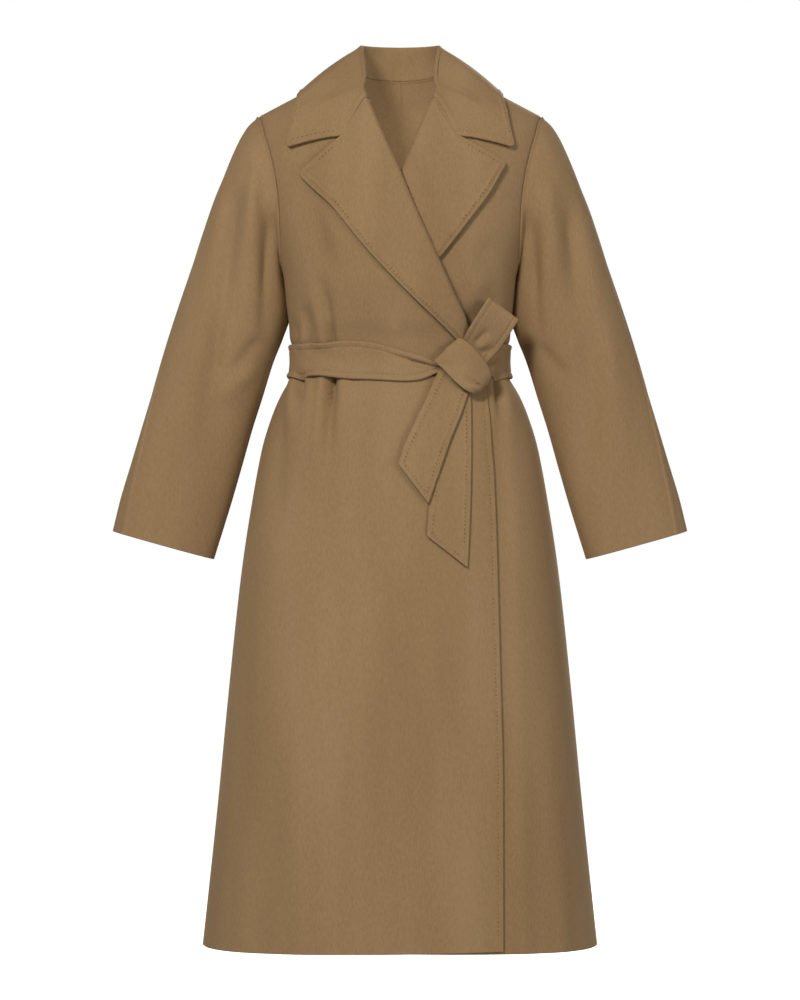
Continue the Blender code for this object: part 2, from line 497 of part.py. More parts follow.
def collar_half(tree, side):
    """Stand and fall of one half: columns from the neck seam up the stand, over the fold and down to the edge."""
    rows = refined(COLLAR_ROWS, COLLAR_PARTS)
    grid = []
    for number, row in enumerate(rows):
        front_end = number == len(rows) - 1
        if abs(row.turn - 0.5) < 0.01:
            seam = Vector((NECK_X - 2.4 * MM, 0, NECK_Z + 2.8 * MM))
            edge = surface(math.pi / 2, row.edge_z, True, LEAF_LIFT)
        else:
            inward = 3.0 * MM * ease(3, 6, number / COLLAR_PARTS)
            seam = on_coat(row.seam_x - inward, row.seam_z, row.turn > 0.5) + Vector((0, 0, 3.4 * MM))
            edge = on_coat(row.edge_x, row.edge_z, row.turn > 0.5, LEAF_LIFT)
        fold = Vector((row.fold_x, row.fold_y, row.fold_z))
        if front_end:
            fold = on_coat(row.fold_x, row.fold_z, True, 1.0 * MM)
        out = edge - fold
        after, before = rows[min(number + 1, len(rows) - 1)], rows[max(number - 1, 0)]
        way = Vector((after.fold_x - before.fold_x, after.fold_y - before.fold_y, after.fold_z - before.fold_z))
        way = way.normalized() if number else Vector((1, 0, 0))
        out = (out - way * out.dot(way)).normalized()
        flat_out = mix(Vector((out.x, out.y, 0)).normalized(), out, ease(4, 6, number / COLLAR_PARTS)).normalized()
        rise = way.cross(flat_out)
        rise = rise if rise.z > 0 else -rise
        if front_end:
            rise = Vector((0, -0.8, 0.6))
        inside = fold - flat_out * 2.2 * MM - rise * 2.0 * MM
        start = fold + flat_out * 2.6 * MM - rise * 1.4 * MM
        line = [seam, mix(seam, inside, 0.5), inside, fold + rise * 0.8 * MM, start]
        rolled = ease(6.2, 8, number / COLLAR_PARTS)
        if rolled:
            across = Vector((after.seam_z - before.seam_z, before.seam_x - after.seam_x)).normalized() * -MM
            root = Vector((row.seam_x, row.seam_z))
            if front_end:
                root = Vector((GORGE_TOP.x, GORGE_TOP.z))
            for k, (step, height) in enumerate(ROLL_HOOK):
                line[k] = mix(line[k], on_coat(*(root + across * step), True, height * MM), rolled)
            start = line[4]
        bulge = start + (edge - start) * 0.42 + rise * (edge - start).length * 0.10
        if front_end:
            bulge = on_coat(GORGE_CORNER.x, GORGE_CORNER.z + 2.2 * MM, True, LEAF_LIFT)
        for j in range(1, 8):
            t = j / 7
            if front_end:
                place = mix(start, bulge, j / 3) if j < 4 else mix(bulge, edge, (j - 3) / 4)
            else:
                place = start * (1 - t) ** 2 + bulge * 2 * t * (1 - t) + edge * t * t
            line.append(push_out(place, tree, LEAF_LIFT))
        grid.append(line)
    return [[Vector((side * p.x, p.y, p.z)) for p in line] for line in grid]


def collar(tree):
    left, right = collar_half(tree, -1), collar_half(tree, 1)
    return sheet("collar", left[::-1] + right[1:], CLOTH_WALL)


def belt_waist():
    """One strip all round: from behind the knot over the wearer's right side, the back and to the knot again."""
    lines = []
    for station in BELT_LEFT:
        lines.append((station.x, True, station.top, station.bottom, station.lift))
    half = math.pi / 2
    stations = [(-angle, True) for angle in (0.70, 0.87, 1.04, 1.20, 1.34, 1.46, half)]
    stations += [(half * step / 9, False) for step in range(-8, 9)]
    stations += [(angle, True) for angle in (half, 1.46, 1.34, 1.20, 1.04, 0.88, 0.72)]
    grid = []
    for x, front, top, bottom, lift in lines:
        grid.append([on_coat(x, mix(bottom, top, k / 4), front, lift) for k in range(5)])
    for angle, front in stations:
        line = []
        for k in range(5):
            z = mix(BELT_BOTTOM, BELT_TOP, k / 4)
            line.append(surface(angle, z, front, BELT_LIFT))
        grid.append(line)
    return sheet("belt_waist", grid, BELT_WALL)


def belt_knot():
    """The wrap of belt round the tie: a puffy closed form over the outline of its corners."""
    middle = Vector((sum(c.x for c in KNOT) / len(KNOT), sum(c.z for c in KNOT) / len(KNOT)))
    outline = []
    for number, corner in enumerate(KNOT):
        after = KNOT[(number + 1) % len(KNOT)]
        outline += [Vector(corner), mix(Vector(corner), Vector(after), 0.5)]
    mesh = bmesh.new()
    rings = []
    for share, lift in KNOT_LEVELS:
        rings.append([mesh.verts.new(on_coat(*mix(middle, p, share), True, lift * MM)) for p in outline])
    low = mesh.verts.new(on_coat(*middle, True, 12.8 * MM))
    high = mesh.verts.new(on_coat(*middle, True, 24.6 * MM))
    count = len(outline)
    for a, b in zip(rings, rings[1:]):
        for j in range(count):
            mesh.faces.new((a[j], a[(j + 1) % count], b[(j + 1) % count], b[j]))
    for j in range(count):
        mesh.faces.new((low, rings[0][(j + 1) % count], rings[0][j]))
        mesh.faces.new((high, rings[-1][j], rings[-1][(j + 1) % count]))
    return finish("belt_knot", mesh)


def strip(name, rows, wall, columns=4, flat_from=1.0):
    """A length of belt before the coat; past the flat-from width it keeps its depth and leaves the coat's side."""
    grid = []
    for row in rows:
        left, right = Vector((row.left_x, row.left_z)), Vector((row.right_x, row.right_z))
        line = []
        for j in range(columns + 1):
            place = mix(left, right, j / columns)
            behind = on_coat(min(place.x, flat_from), place.y, True, row.lift)
            line.append(Vector((place.x, behind.y + 0.35 * max(place.x - flat_from, 0.0), place.y)))
        grid.append(line)
    return sheet(name, grid, wall)


def main():
    for old in list(bpy.data.objects):
        bpy.data.objects.remove(old)
    drop = lambda x, z: -under_drop(x, z)
    panel("front_right", FRONT_ROWS, FRONT_EDGE, True, -1, 14)
    panel("front_left", FRONT_ROWS, FRONT_EDGE, True, 1, 14, drop)
    panel("back_right", BACK_ROWS, BACK_NECK, False, -1, 9)
    panel("back_left", BACK_ROWS, BACK_NECK, False, 1, 9)
    for side, word in ((-1, "right"), (1, "left")):
        sheet(f"sleeve_{word}_front", sleeve_grid(side, True, 10), CLOTH_WALL)
        sheet(f"sleeve_{word}_back", sleeve_grid(side, False, 10), CLOTH_WALL)
    lapel("lapel_right", OVER_LAPEL, -1, 7, lambda x, z: 0.0, 2.2 * MM)
    lapel("lapel_left", UNDER_LAPEL, 1, 7, under_drop, 0.6 * MM)
    tree = body_tree()
    collar(tree)
    belt_waist()
    belt_knot()
    strip("belt_tail_front", TAIL_FRONT, BELT_WALL)
    strip("belt_tail_back", TAIL_BACK, BELT_WALL)
    strip("belt_loop", LOOP_FRONT + LOOP_BACK, LOOP_WALL, flat_from=0.108)


main()
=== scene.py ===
"""A belted wrap coat of camel double-face wool, filled out as if worn, in a white studio.

Metres, +Z up, the coat faces -Y. The origin is between the shoulders, at the height of the neck's base.
"Own" x counts from the middle towards a piece's own side seam. Right and left are the wearer's.
"""

from __future__ import annotations

import logging
import math
from collections.abc import Callable, Sequence
from dataclasses import dataclass, field, replace
from enum import Enum
from typing import NamedTuple

import bpy
import numpy as np
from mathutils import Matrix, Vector
from mathutils.bvhtree import BVHTree

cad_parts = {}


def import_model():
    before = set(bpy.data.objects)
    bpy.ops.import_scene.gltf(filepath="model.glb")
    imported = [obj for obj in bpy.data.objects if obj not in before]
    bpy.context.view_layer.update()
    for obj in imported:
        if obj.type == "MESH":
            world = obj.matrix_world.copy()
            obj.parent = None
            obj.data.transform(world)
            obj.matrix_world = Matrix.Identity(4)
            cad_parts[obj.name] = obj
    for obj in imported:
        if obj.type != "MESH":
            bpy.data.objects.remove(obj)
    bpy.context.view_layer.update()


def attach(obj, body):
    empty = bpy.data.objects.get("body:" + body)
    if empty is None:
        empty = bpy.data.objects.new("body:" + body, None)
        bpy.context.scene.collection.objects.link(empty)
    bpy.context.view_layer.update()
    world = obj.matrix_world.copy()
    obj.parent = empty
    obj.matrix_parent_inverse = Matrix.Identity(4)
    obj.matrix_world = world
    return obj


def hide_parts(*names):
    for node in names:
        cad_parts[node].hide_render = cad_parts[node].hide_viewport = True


LOG = logging.getLogger("coat")
MM = 0.001
Array = np.ndarray
NEAR_EDGE_MM = (0.0, 0.9, 2.0, 3.4, 4.8, 6.0, 7.0, 8.0, 9.2, 10.8, 12.8, 15.4)
"""Where the columns lie beside an edge that is sewn or stitched."""

NO_STITCH = 0.5
"""A distance from the edge, in metres, at which no stitch is drawn."""


class Side(Enum):
    """The wearer's side of a piece, as the sign of its world x."""

    RIGHT = -1
    LEFT = 1


class Face(Enum):
    """Whether a piece lies on the coat's front or its back, as the sign of its world y."""

    FRONT = -1
    BACK = 1


class Edge(Enum):
    """One border of a cloth grid: its first or last column, or its first or last row."""

    START = "first column"
    END = "last column"
    LOW = "first row"
    HIGH = "last row"


class Width(NamedTuple):
    """Half width of the body below the armhole."""

    z: float
    half_width: float


class Depth(NamedTuple):
    """Half depths of the body before and behind its middle."""

    z: float
    front: float
    back: float


class Line(NamedTuple):
    """One point of an edge that is given by height."""

    z: float
    x: float


class Row(NamedTuple):
    """Heights at which one row of a panel meets its side seam and its inner edge."""

    outer_z: float
    inner_z: float


class Ring(NamedTuple):
    """One ring of a sleeve: its outer and inner edge, its half depth, and the outer seam's turn in degrees."""

    out_x: float
    out_z: float
    in_x: float
    in_z: float
    depth: float
    seam_turn: float


class Fold(NamedTuple):
    """A soft ridge, or a trough where the height is negative, from one end to the other."""

    x0: float
    z0: float
    x1: float
    z1: float
    width: float
    height: float


class LapelRow(NamedTuple):
    """One row of a lapel: its place on the roll line and on its own edge."""

    roll_x: float
    roll_z: float
    edge_x: float
    edge_z: float


class CollarRow(NamedTuple):
    """One row of the collar: top of the fold, neck seam and edge. The edge's turn is 0 behind, 1 in front."""

    fold_x: float
    fold_y: float
    fold_z: float
    seam_x: float
    seam_z: float
    edge_x: float
    edge_z: float
    turn: float


class BeltStation(NamedTuple):
    """Where the belt's stretch before the right front has its two edges."""

    x: float
    top: float
    bottom: float
    lift: float


class StripRow(NamedTuple):
    """A pair of corners across a loose length of belt."""

    left_x: float
    left_z: float
    right_x: float
    right_z: float
    lift: float


def table(kind: type, unit_of_last: float, *rows: tuple[float, ...]) -> tuple:
    """A table's rows as this kind of row, their last column given in this unit."""
    return tuple(kind(*row[:-1], row[-1] * unit_of_last) for row in rows)


def ease(low: float, high: float, value: Array | float) -> Array:
    """Soft step from 0 at low to 1 at high."""
    t = np.clip((np.asarray(value, float) - low) / (high - low), 0.0, 1.0)
    return t * t * (3 - 2 * t)


def mix(a: Array | float, b: Array | float, share: Array | float) -> Array:
    """The value this share of the way from a to b."""
    return a + (b - a) * share


def unit(vectors: Array) -> Array:
    """The same vectors at length 1."""
    return vectors / np.maximum(np.linalg.norm(vectors, axis=-1, keepdims=True), 1e-12)


def points(x: Array | float, y: Array | float, z: Array | float) -> Array:
    """Places as one array with x, y and z last."""
    return np.stack(np.broadcast_arrays(np.asarray(x, float), y, z), axis=-1)


class Curve:
    """A smooth curve through a table's column without overshoot."""

    def __init__(self, at: Sequence[float], values: Sequence[float]) -> None:
        """Finds the slopes.

        Args:
            at: rising places.
            values: the column at these places.
        """
        self.at, self.values = np.asarray(at, float), np.asarray(values, float)
        runs = np.diff(self.values) / np.diff(self.at)
        both = runs[:-1] * runs[1:]
        total = np.where(both > 0, runs[:-1] + runs[1:], 1.0)
        inner = np.where(both > 0, 2 * both / total, 0.0)
        self.slopes = np.concatenate([runs[:1], inner, runs[-1:]])

    def __call__(self, at: Array | float) -> Array:
        """The column's value at these places."""
        at = np.clip(np.asarray(at, float), self.at[0], self.at[-1])
        i = np.clip(np.searchsorted(self.at, at, side="left") - 1, 0, len(self.at) - 2)
        run = self.at[i + 1] - self.at[i]
        t = (at - self.at[i]) / run
        return (
            self.values[i] * (1 + 2 * t) * (1 - t) ** 2 + self.values[i + 1] * t * t * (3 - 2 * t)
            + run * self.slopes[i] * t * (1 - t) ** 2 - run * self.slopes[i + 1] * t * t * (1 - t)
        )


def curve_of(rows: Sequence[NamedTuple], column: str) -> Curve:
    """The curve of one column over the table's first column."""
    return Curve([row[0] for row in rows], [getattr(row, column) for row in rows])


def refined(rows: Sequence[NamedTuple], at: Array) -> dict[str, Array]:
    """A table's columns at fractional row numbers.

    Args:
        rows: the table.
        at: row numbers, not only whole ones.

    Returns:
        Each column's values at these numbers.
    """
    numbers = list(range(len(rows)))
    return {name: Curve(numbers, [getattr(row, name) for row in rows])(at) for name in rows[0]._fields}


@dataclass(frozen=True)
class Body:
    """The coat's body as one form: sections from tables, with neckline, armholes, hem and the folds that lie on it."""

    squareness: float = 0.03
    neck: tuple[float, float] = (0.060, 0.012)
    tip: tuple[float, float] = (0.198, -0.0605)
    pit: tuple[float, float] = (0.163, -0.285)
    armhole_front: float = 0.070
    armhole_back: float = 0.075
    waist_z: float = -0.402
    under_drop: float = 13.5 * MM
    skirt_drop: float = 4.6 * MM
    drop_start: float = 0.008
    drop_run_skirt: float = 0.022
    drop_run_chest: float = 0.048
    averaged_over: tuple[float, ...] = (-0.03, -0.015, 0.015, 0.03)
    widths: tuple[Width, ...] = table(
        Width, 1.0,
        (-1.2155, 0.275), (-1.155, 0.2684), (-1.015, 0.2535), (-0.875, 0.24), (-0.735, 0.2255), (-0.668, 0.217),
        (-0.601, 0.2065), (-0.55, 0.1975), (-0.517, 0.1905), (-0.483, 0.18), (-0.46, 0.171), (-0.444, 0.163),
        (-0.431, 0.155), (-0.422, 0.15), (-0.402, 0.148), (-0.383, 0.149), (-0.37, 0.153), (-0.35, 0.1545),
        (-0.32, 0.159), (-0.285, 0.163),
    )
    depths: tuple[Depth, ...] = table(
        Depth, 1.0,
        (-1.2155, 0.173, 0.178), (-1.0, 0.16, 0.168), (-0.8, 0.147, 0.16), (-0.62, 0.134, 0.15),
        (-0.52, 0.125, 0.138), (-0.46, 0.115, 0.12), (-0.43, 0.104, 0.106), (-0.402, 0.1, 0.1),
        (-0.375, 0.105, 0.104), (-0.345, 0.117, 0.113), (-0.29, 0.128, 0.124), (-0.24, 0.129, 0.131),
        (-0.18, 0.121, 0.132), (-0.138, 0.1135, 0.127), (-0.1, 0.103, 0.119), (-0.07, 0.093, 0.108),
        (-0.042, 0.079, 0.093), (-0.022, 0.06, 0.078), (-0.004, 0.042, 0.067), (0.012, 0.031, 0.06),
    )
    armhole: tuple[Line, ...] = table(
        Line, 1.0,
        (-0.285, 0.163), (-0.26, 0.1645), (-0.22, 0.1665), (-0.18, 0.1685), (-0.15, 0.1725), (-0.12, 0.179),
        (-0.1, 0.1852), (-0.08, 0.1922), (-0.0605, 0.198),
    )
    # The front's free edge from hem to break point, then the roll line, then the neckline.
    front_edge: tuple[Line, ...] = table(
        Line, 1.0,
        (-1.2075, -0.14), (-0.99, -0.14), (-0.799, -0.1358), (-0.573, -0.1292), (-0.517, -0.125), (-0.439, -0.117),
        (-0.403, -0.107), (-0.359, -0.0905), (-0.318, -0.0718), (-0.263, -0.047), (-0.2405, -0.0362),
        (-0.138, 0.0071), (-0.042, 0.0483), (-0.022, 0.0555), (-0.004, 0.0598), (0.012, 0.06),
    )
    front_folds: tuple[Fold, ...] = table(
        Fold, MM,
        (-0.092, -0.428, -0.104, -0.545, 0.01, -3.2), (-0.139, -0.428, -0.143, -0.452, 0.006, -2.0),
        (-0.165, -0.47, -0.178, -0.66, 0.016, -2.5), (-0.118, -0.44, -0.135, -0.62, 0.014, 2.2),
        (0.137, -0.43, 0.146, -0.462, 0.006, -2.2), (-0.111, -0.3, -0.095, -0.374, 0.01, -2.6),
        (-0.131, -0.335, -0.128, -0.374, 0.008, -2.0), (0.118, -0.31, 0.11, -0.374, 0.01, -2.2),
    )
    back_folds: tuple[Fold, ...] = table(
        Fold, MM,
        (-0.06, -0.428, -0.072, -0.56, 0.012, -3.0), (0.066, -0.428, 0.08, -0.57, 0.012, -3.0),
        (-0.11, -0.428, -0.13, -0.52, 0.01, -2.6), (0.112, -0.428, 0.128, -0.53, 0.01, -2.6),
        (-0.07, -0.3, -0.062, -0.374, 0.01, -2.4), (0.078, -0.29, 0.068, -0.374, 0.01, -2.4),
    )
    front_creases: tuple[Fold, ...] = table(
        Fold, MM,
        (-0.112, -0.215, -0.092, -0.32, 0.012, -5.0), (-0.01, -0.35, -0.016, -0.29, 0.01, -3.0),
        (-0.093, -0.42, -0.0965, -0.48, 0.0046, -7.5), (-0.1375, -0.42, -0.1405, -0.46, 0.0044, -7.0),
        (0.1357, -0.42, 0.139, -0.468, 0.0044, -7.0), (-0.0935, -0.384, -0.098, -0.345, 0.0042, -3.5),
        (-0.0935, -0.427, -0.102, -0.58, 0.005, -7.5), (-0.1375, -0.427, -0.1435, -0.47, 0.0042, -5.0),
        (-0.105, -0.43, -0.116, -0.6, 0.0075, 7.0), (-0.148, -0.43, -0.156, -0.52, 0.0065, 5.0),
        (-0.125, -0.436, -0.134, -0.57, 0.007, 2.0), (-0.08, -0.434, -0.085, -0.56, 0.0095, 2.6),
        (-0.062, -0.427, -0.064, -0.49, 0.007, -1.8), (-0.166, -0.5, -0.177, -0.68, 0.011, -3.6),
        (0.1357, -0.427, 0.143, -0.49, 0.0044, -5.5), (0.1265, -0.43, 0.131, -0.53, 0.006, 4.5),
        (0.146, -0.434, 0.157, -0.53, 0.007, 2.2), (-0.0925, -0.377, -0.1107, -0.278, 0.0046, -5.5),
        (-0.1257, -0.377, -0.13, -0.312, 0.0042, -4.5), (-0.106, -0.377, -0.121, -0.29, 0.0065, 4.2),
        (-0.141, -0.377, -0.1435, -0.34, 0.0036, -3.4), (-0.134, -0.377, -0.137, -0.32, 0.005, 2.6),
        (-0.056, -0.377, -0.072, -0.285, 0.009, -1.6), (0.132, -0.377, 0.125, -0.27, 0.006, -4.2),
        (0.118, -0.25, 0.1, -0.33, 0.012, -1.8), (-0.118, -0.23, -0.103, -0.3, 0.012, -1.8),
        (-0.19, -1.225, -0.17, -0.76, 0.015, -3.0), (-0.07, -1.225, -0.08, -0.8, 0.018, -2.4),
        (-0.13, -1.225, -0.128, -0.74, 0.016, 2.4), (0.035, -1.225, 0.02, -0.85, 0.018, -2.0),
        (0.19, -1.225, 0.175, -0.76, 0.013, -3.0), (0.225, -1.225, 0.202, -0.82, 0.01, 2.4),
    )
    back_creases: tuple[Fold, ...] = table(
        Fold, MM,
        (-0.06, -0.427, -0.07, -0.54, 0.0044, -4.8), (0.066, -0.427, 0.078, -0.55, 0.0044, -4.8),
        (-0.11, -0.427, -0.124, -0.5, 0.004, -4.5), (0.112, -0.427, 0.126, -0.51, 0.004, -4.5),
        (-0.025, -0.427, -0.028, -0.5, 0.006, -3.2), (0.03, -0.427, 0.033, -0.49, 0.006, -3.2),
        (-0.085, -0.434, -0.096, -0.56, 0.0085, 3.8), (0.09, -0.434, 0.101, -0.56, 0.0085, 3.8),
        (-0.07, -0.377, -0.06, -0.28, 0.0055, -4.8), (0.078, -0.377, 0.066, -0.275, 0.0055, -4.8),
        (-0.105, -0.377, -0.1, -0.31, 0.005, -3.8), (0.11, -0.377, 0.104, -0.305, 0.005, -3.8),
        (-0.088, -0.377, -0.08, -0.3, 0.0065, 3.2), (0.094, -0.377, 0.085, -0.3, 0.0065, 3.2),
        (-0.185, -1.225, -0.16, -0.74, 0.017, -5.4), (0.18, -1.225, 0.162, -0.76, 0.017, -5.1),
        (-0.1, -1.225, -0.095, -0.78, 0.019, 4.5), (0.09, -1.225, 0.085, -0.76, 0.019, 4.5),
        (-0.045, -1.225, -0.042, -0.82, 0.015, -3.5), (0.042, -1.225, 0.04, -0.8, 0.015, -3.5),
    )

    def bow(self, angle: Array | float) -> Array:
        """Share of the half width at an angle from the front, a little squarer than a sine."""
        return (np.sin(angle) + self.squareness * np.sin(3 * np.asarray(angle))) / (1 - self.squareness)

    def unbow(self, share: Array | float) -> Array:
        """The angle whose bow is this share."""
        share = np.clip(np.asarray(share, float), -1.0, 1.0)
        s = share.copy()
        for _ in range(6):
            short = ((1 + 3 * self.squareness) * s - 4 * self.squareness * s**3) / (1 - self.squareness) - share
            s = s - short * (1 - self.squareness) / (1 + 3 * self.squareness - 12 * self.squareness * s * s)
            s = np.clip(s, -1.0, 1.0)
        return np.arcsin(s)

    def half_depth(self, z: Array | float, face: Face) -> Array:
        """Half depth of the section before or behind its middle."""
        return curve_of(self.depths, "front" if face is Face.FRONT else "back")(z)

    def armhole_angle(self, z: Array | float, face: Face) -> Array:
        """Angle at which the armhole's edge cuts the body's section at this height."""
        middle, reach = (self.tip[1] + self.pit[1]) / 2, (self.tip[1] - self.pit[1]) / 2
        share = np.clip((np.asarray(z, float) - middle) / reach, -1.0, 1.0)
        depth = (self.armhole_front if face is Face.FRONT else self.armhole_back) * np.sqrt(1 - share * share)
        return math.pi / 2 - self.unbow(depth / self.half_depth(z, face))

    def exact_width(self, z: Array | float, face: Face) -> Array:
        """Half width of the section whose armhole edge is where the table puts it."""
        z = np.asarray(z, float)
        below = curve_of(self.widths, "half_width")(z)
        above = self.neck[0] + (self.neck[1] - z) * (self.tip[0] - self.neck[0]) / (self.neck[1] - self.tip[1])
        beside = curve_of(self.armhole, "x")(z) / self.bow(self.armhole_angle(z, face))
        return np.where(z <= self.pit[1], below, np.where(z >= self.tip[1], above, beside))

    def half_width(self, z: Array | float, face: Face, angle: Array | float) -> Array:
        """The section's half width; away from the side it is averaged over the height, so no crease runs to the pit."""
        z = np.asarray(z, float)
        exact = self.exact_width(z, face)
        share = ease(math.radians(88), math.radians(50), np.abs(angle))
        around = sum(self.exact_width(np.minimum(z + s, self.neck[1]), face) for s in self.averaged_over)
        low, high = self.pit[1], self.tip[1]
        inside = ease(low - 0.06, low - 0.03, z) * ease(high + 0.05, high + 0.02, z)
        return mix(exact, (exact + around) / 5, share * inside)

    def raw(self, angle: Array, z: Array, face: Face) -> Array:
        """A point of the section before folds."""
        y = self.half_depth(z, face) * self.bow(math.pi / 2 - np.asarray(angle)) * face.value
        return points(self.half_width(z, face, angle) * self.bow(angle), y, z)

    def fold_height(self, x: Array, z: Array, folds: Sequence[Fold]) -> Array:
        """Sum of the soft ridges and troughs at a place of the front or back."""
        total = np.zeros(np.broadcast(x, z).shape)
        for fold in folds:
            run_x, run_z = fold.x1 - fold.x0, fold.z1 - fold.z0
            length = math.hypot(run_x, run_z)
            along = ((x - fold.x0) * run_x + (z - fold.z0) * run_z) / length**2
            across = np.abs((x - fold.x0) * run_z - (z - fold.z0) * run_x) / length
            width = fold.width * (1 + np.maximum(along, 0.0))
            fade = ease(-0.25, 0.05, along) * ease(1.0, 0.35, along)
            total += fold.height * np.exp(-((across / width) ** 2)) * fade
        return total

    def surface(self, angle: Array | float, z: Array | float, face: Face, lift: Array | float = 0.0) -> Array:
        """A point of the cloth's middle surface.

        Args:
            angle: from the front or back middle, positive towards +X.
            z: height.
            face: front or back.
            lift: distance outside the cloth's middle.

        Returns:
            The place, moved out along the normal by the lift and the folds.
        """
        angle, z = np.broadcast_arrays(np.asarray(angle, float), np.asarray(z, float))
        by_angle = self.raw(angle + 0.01, z, face) - self.raw(angle - 0.01, z, face)
        by_z = self.raw(angle, z + 0.002, face) - self.raw(angle, z - 0.002, face)
        normal = unit(np.cross(by_angle, by_z))
        place = self.raw(angle, z, face)
        outward = place * (1.0, 1.0, 0.0) + (0.0, 0.001 * face.value, 0.0)
        normal = np.where(np.sum(normal * outward, -1, keepdims=True) < 0, -normal, normal)
        tables = (self.front_folds, self.front_creases) if face is Face.FRONT else (self.back_folds, self.back_creases)
        side = ease(math.radians(90), math.radians(75), np.abs(angle))
        height = sum(self.fold_height(place[..., 0], z, folds) * side for folds in tables)
        return place + normal * (height + lift)[..., None]

    def angle_at(self, x: Array | float, z: Array | float, face: Face) -> Array:
        """The angle whose point of the section is at this x."""
        angle = self.unbow(x / self.exact_width(z, face))
        for _ in range(3):
            angle = self.unbow(x / self.half_width(z, face, angle))
        return angle

    def on_coat(self, x: Array | float, z: Array | float, face: Face, lift: Array | float = 0.0) -> Array:
        """The point at this place of the front or back view, this far outside the cloth's middle surface."""
        angle = self.angle_at(x, z, face)
        base = self.surface(angle, z, face)
        out = self.surface(angle, z, face, MM) - base
        moved = np.zeros(base.shape)
        moved[..., 1] = face.value * np.asarray(lift) / np.maximum(np.abs(out[..., 1]) / MM, 0.45)
        return base + moved

    def drop(self, x: Array, z: Array) -> Array:
        """How far the under front's cloth lies inside, where the over front covers it; world x."""
        edge = -curve_of(self.front_edge, "x")(z)
        chest = ease(self.waist_z, -0.345, z)
        depth = mix(self.skirt_drop, self.under_drop, chest) * ease(-0.03, -0.13, z)
        run = mix(self.drop_run_skirt, self.drop_run_chest, chest)
        t = np.clip((edge + run + self.drop_start - x) / run, 0.0, 1.0)
        return depth * t * t * (3 - 2 * t)

    def tree(self) -> BVHTree:
        """The upper body as a surface that loose pieces are kept clear of."""
        heights = np.linspace(-0.62, self.neck[1], 140)
        turns = np.linspace(-math.pi / 2, math.pi / 2, 60)
        places: list[Vector] = []
        faces: list[tuple[int, ...]] = []
        for face in Face:
            base = len(places)
            grid = self.surface(turns[None, :], heights[:, None], face)
            places += [Vector(p) for p in grid.reshape(-1, 3)]
            for i in range(len(heights) - 1):
                for j in range(len(turns) - 1):
                    a = base + i * len(turns) + j
                    quad = (a, a + 1, a + 1 + len(turns), a + len(turns))
                    faces.append(quad if face is Face.FRONT else quad[::-1])
        return BVHTree.FromPolygons(places, faces)


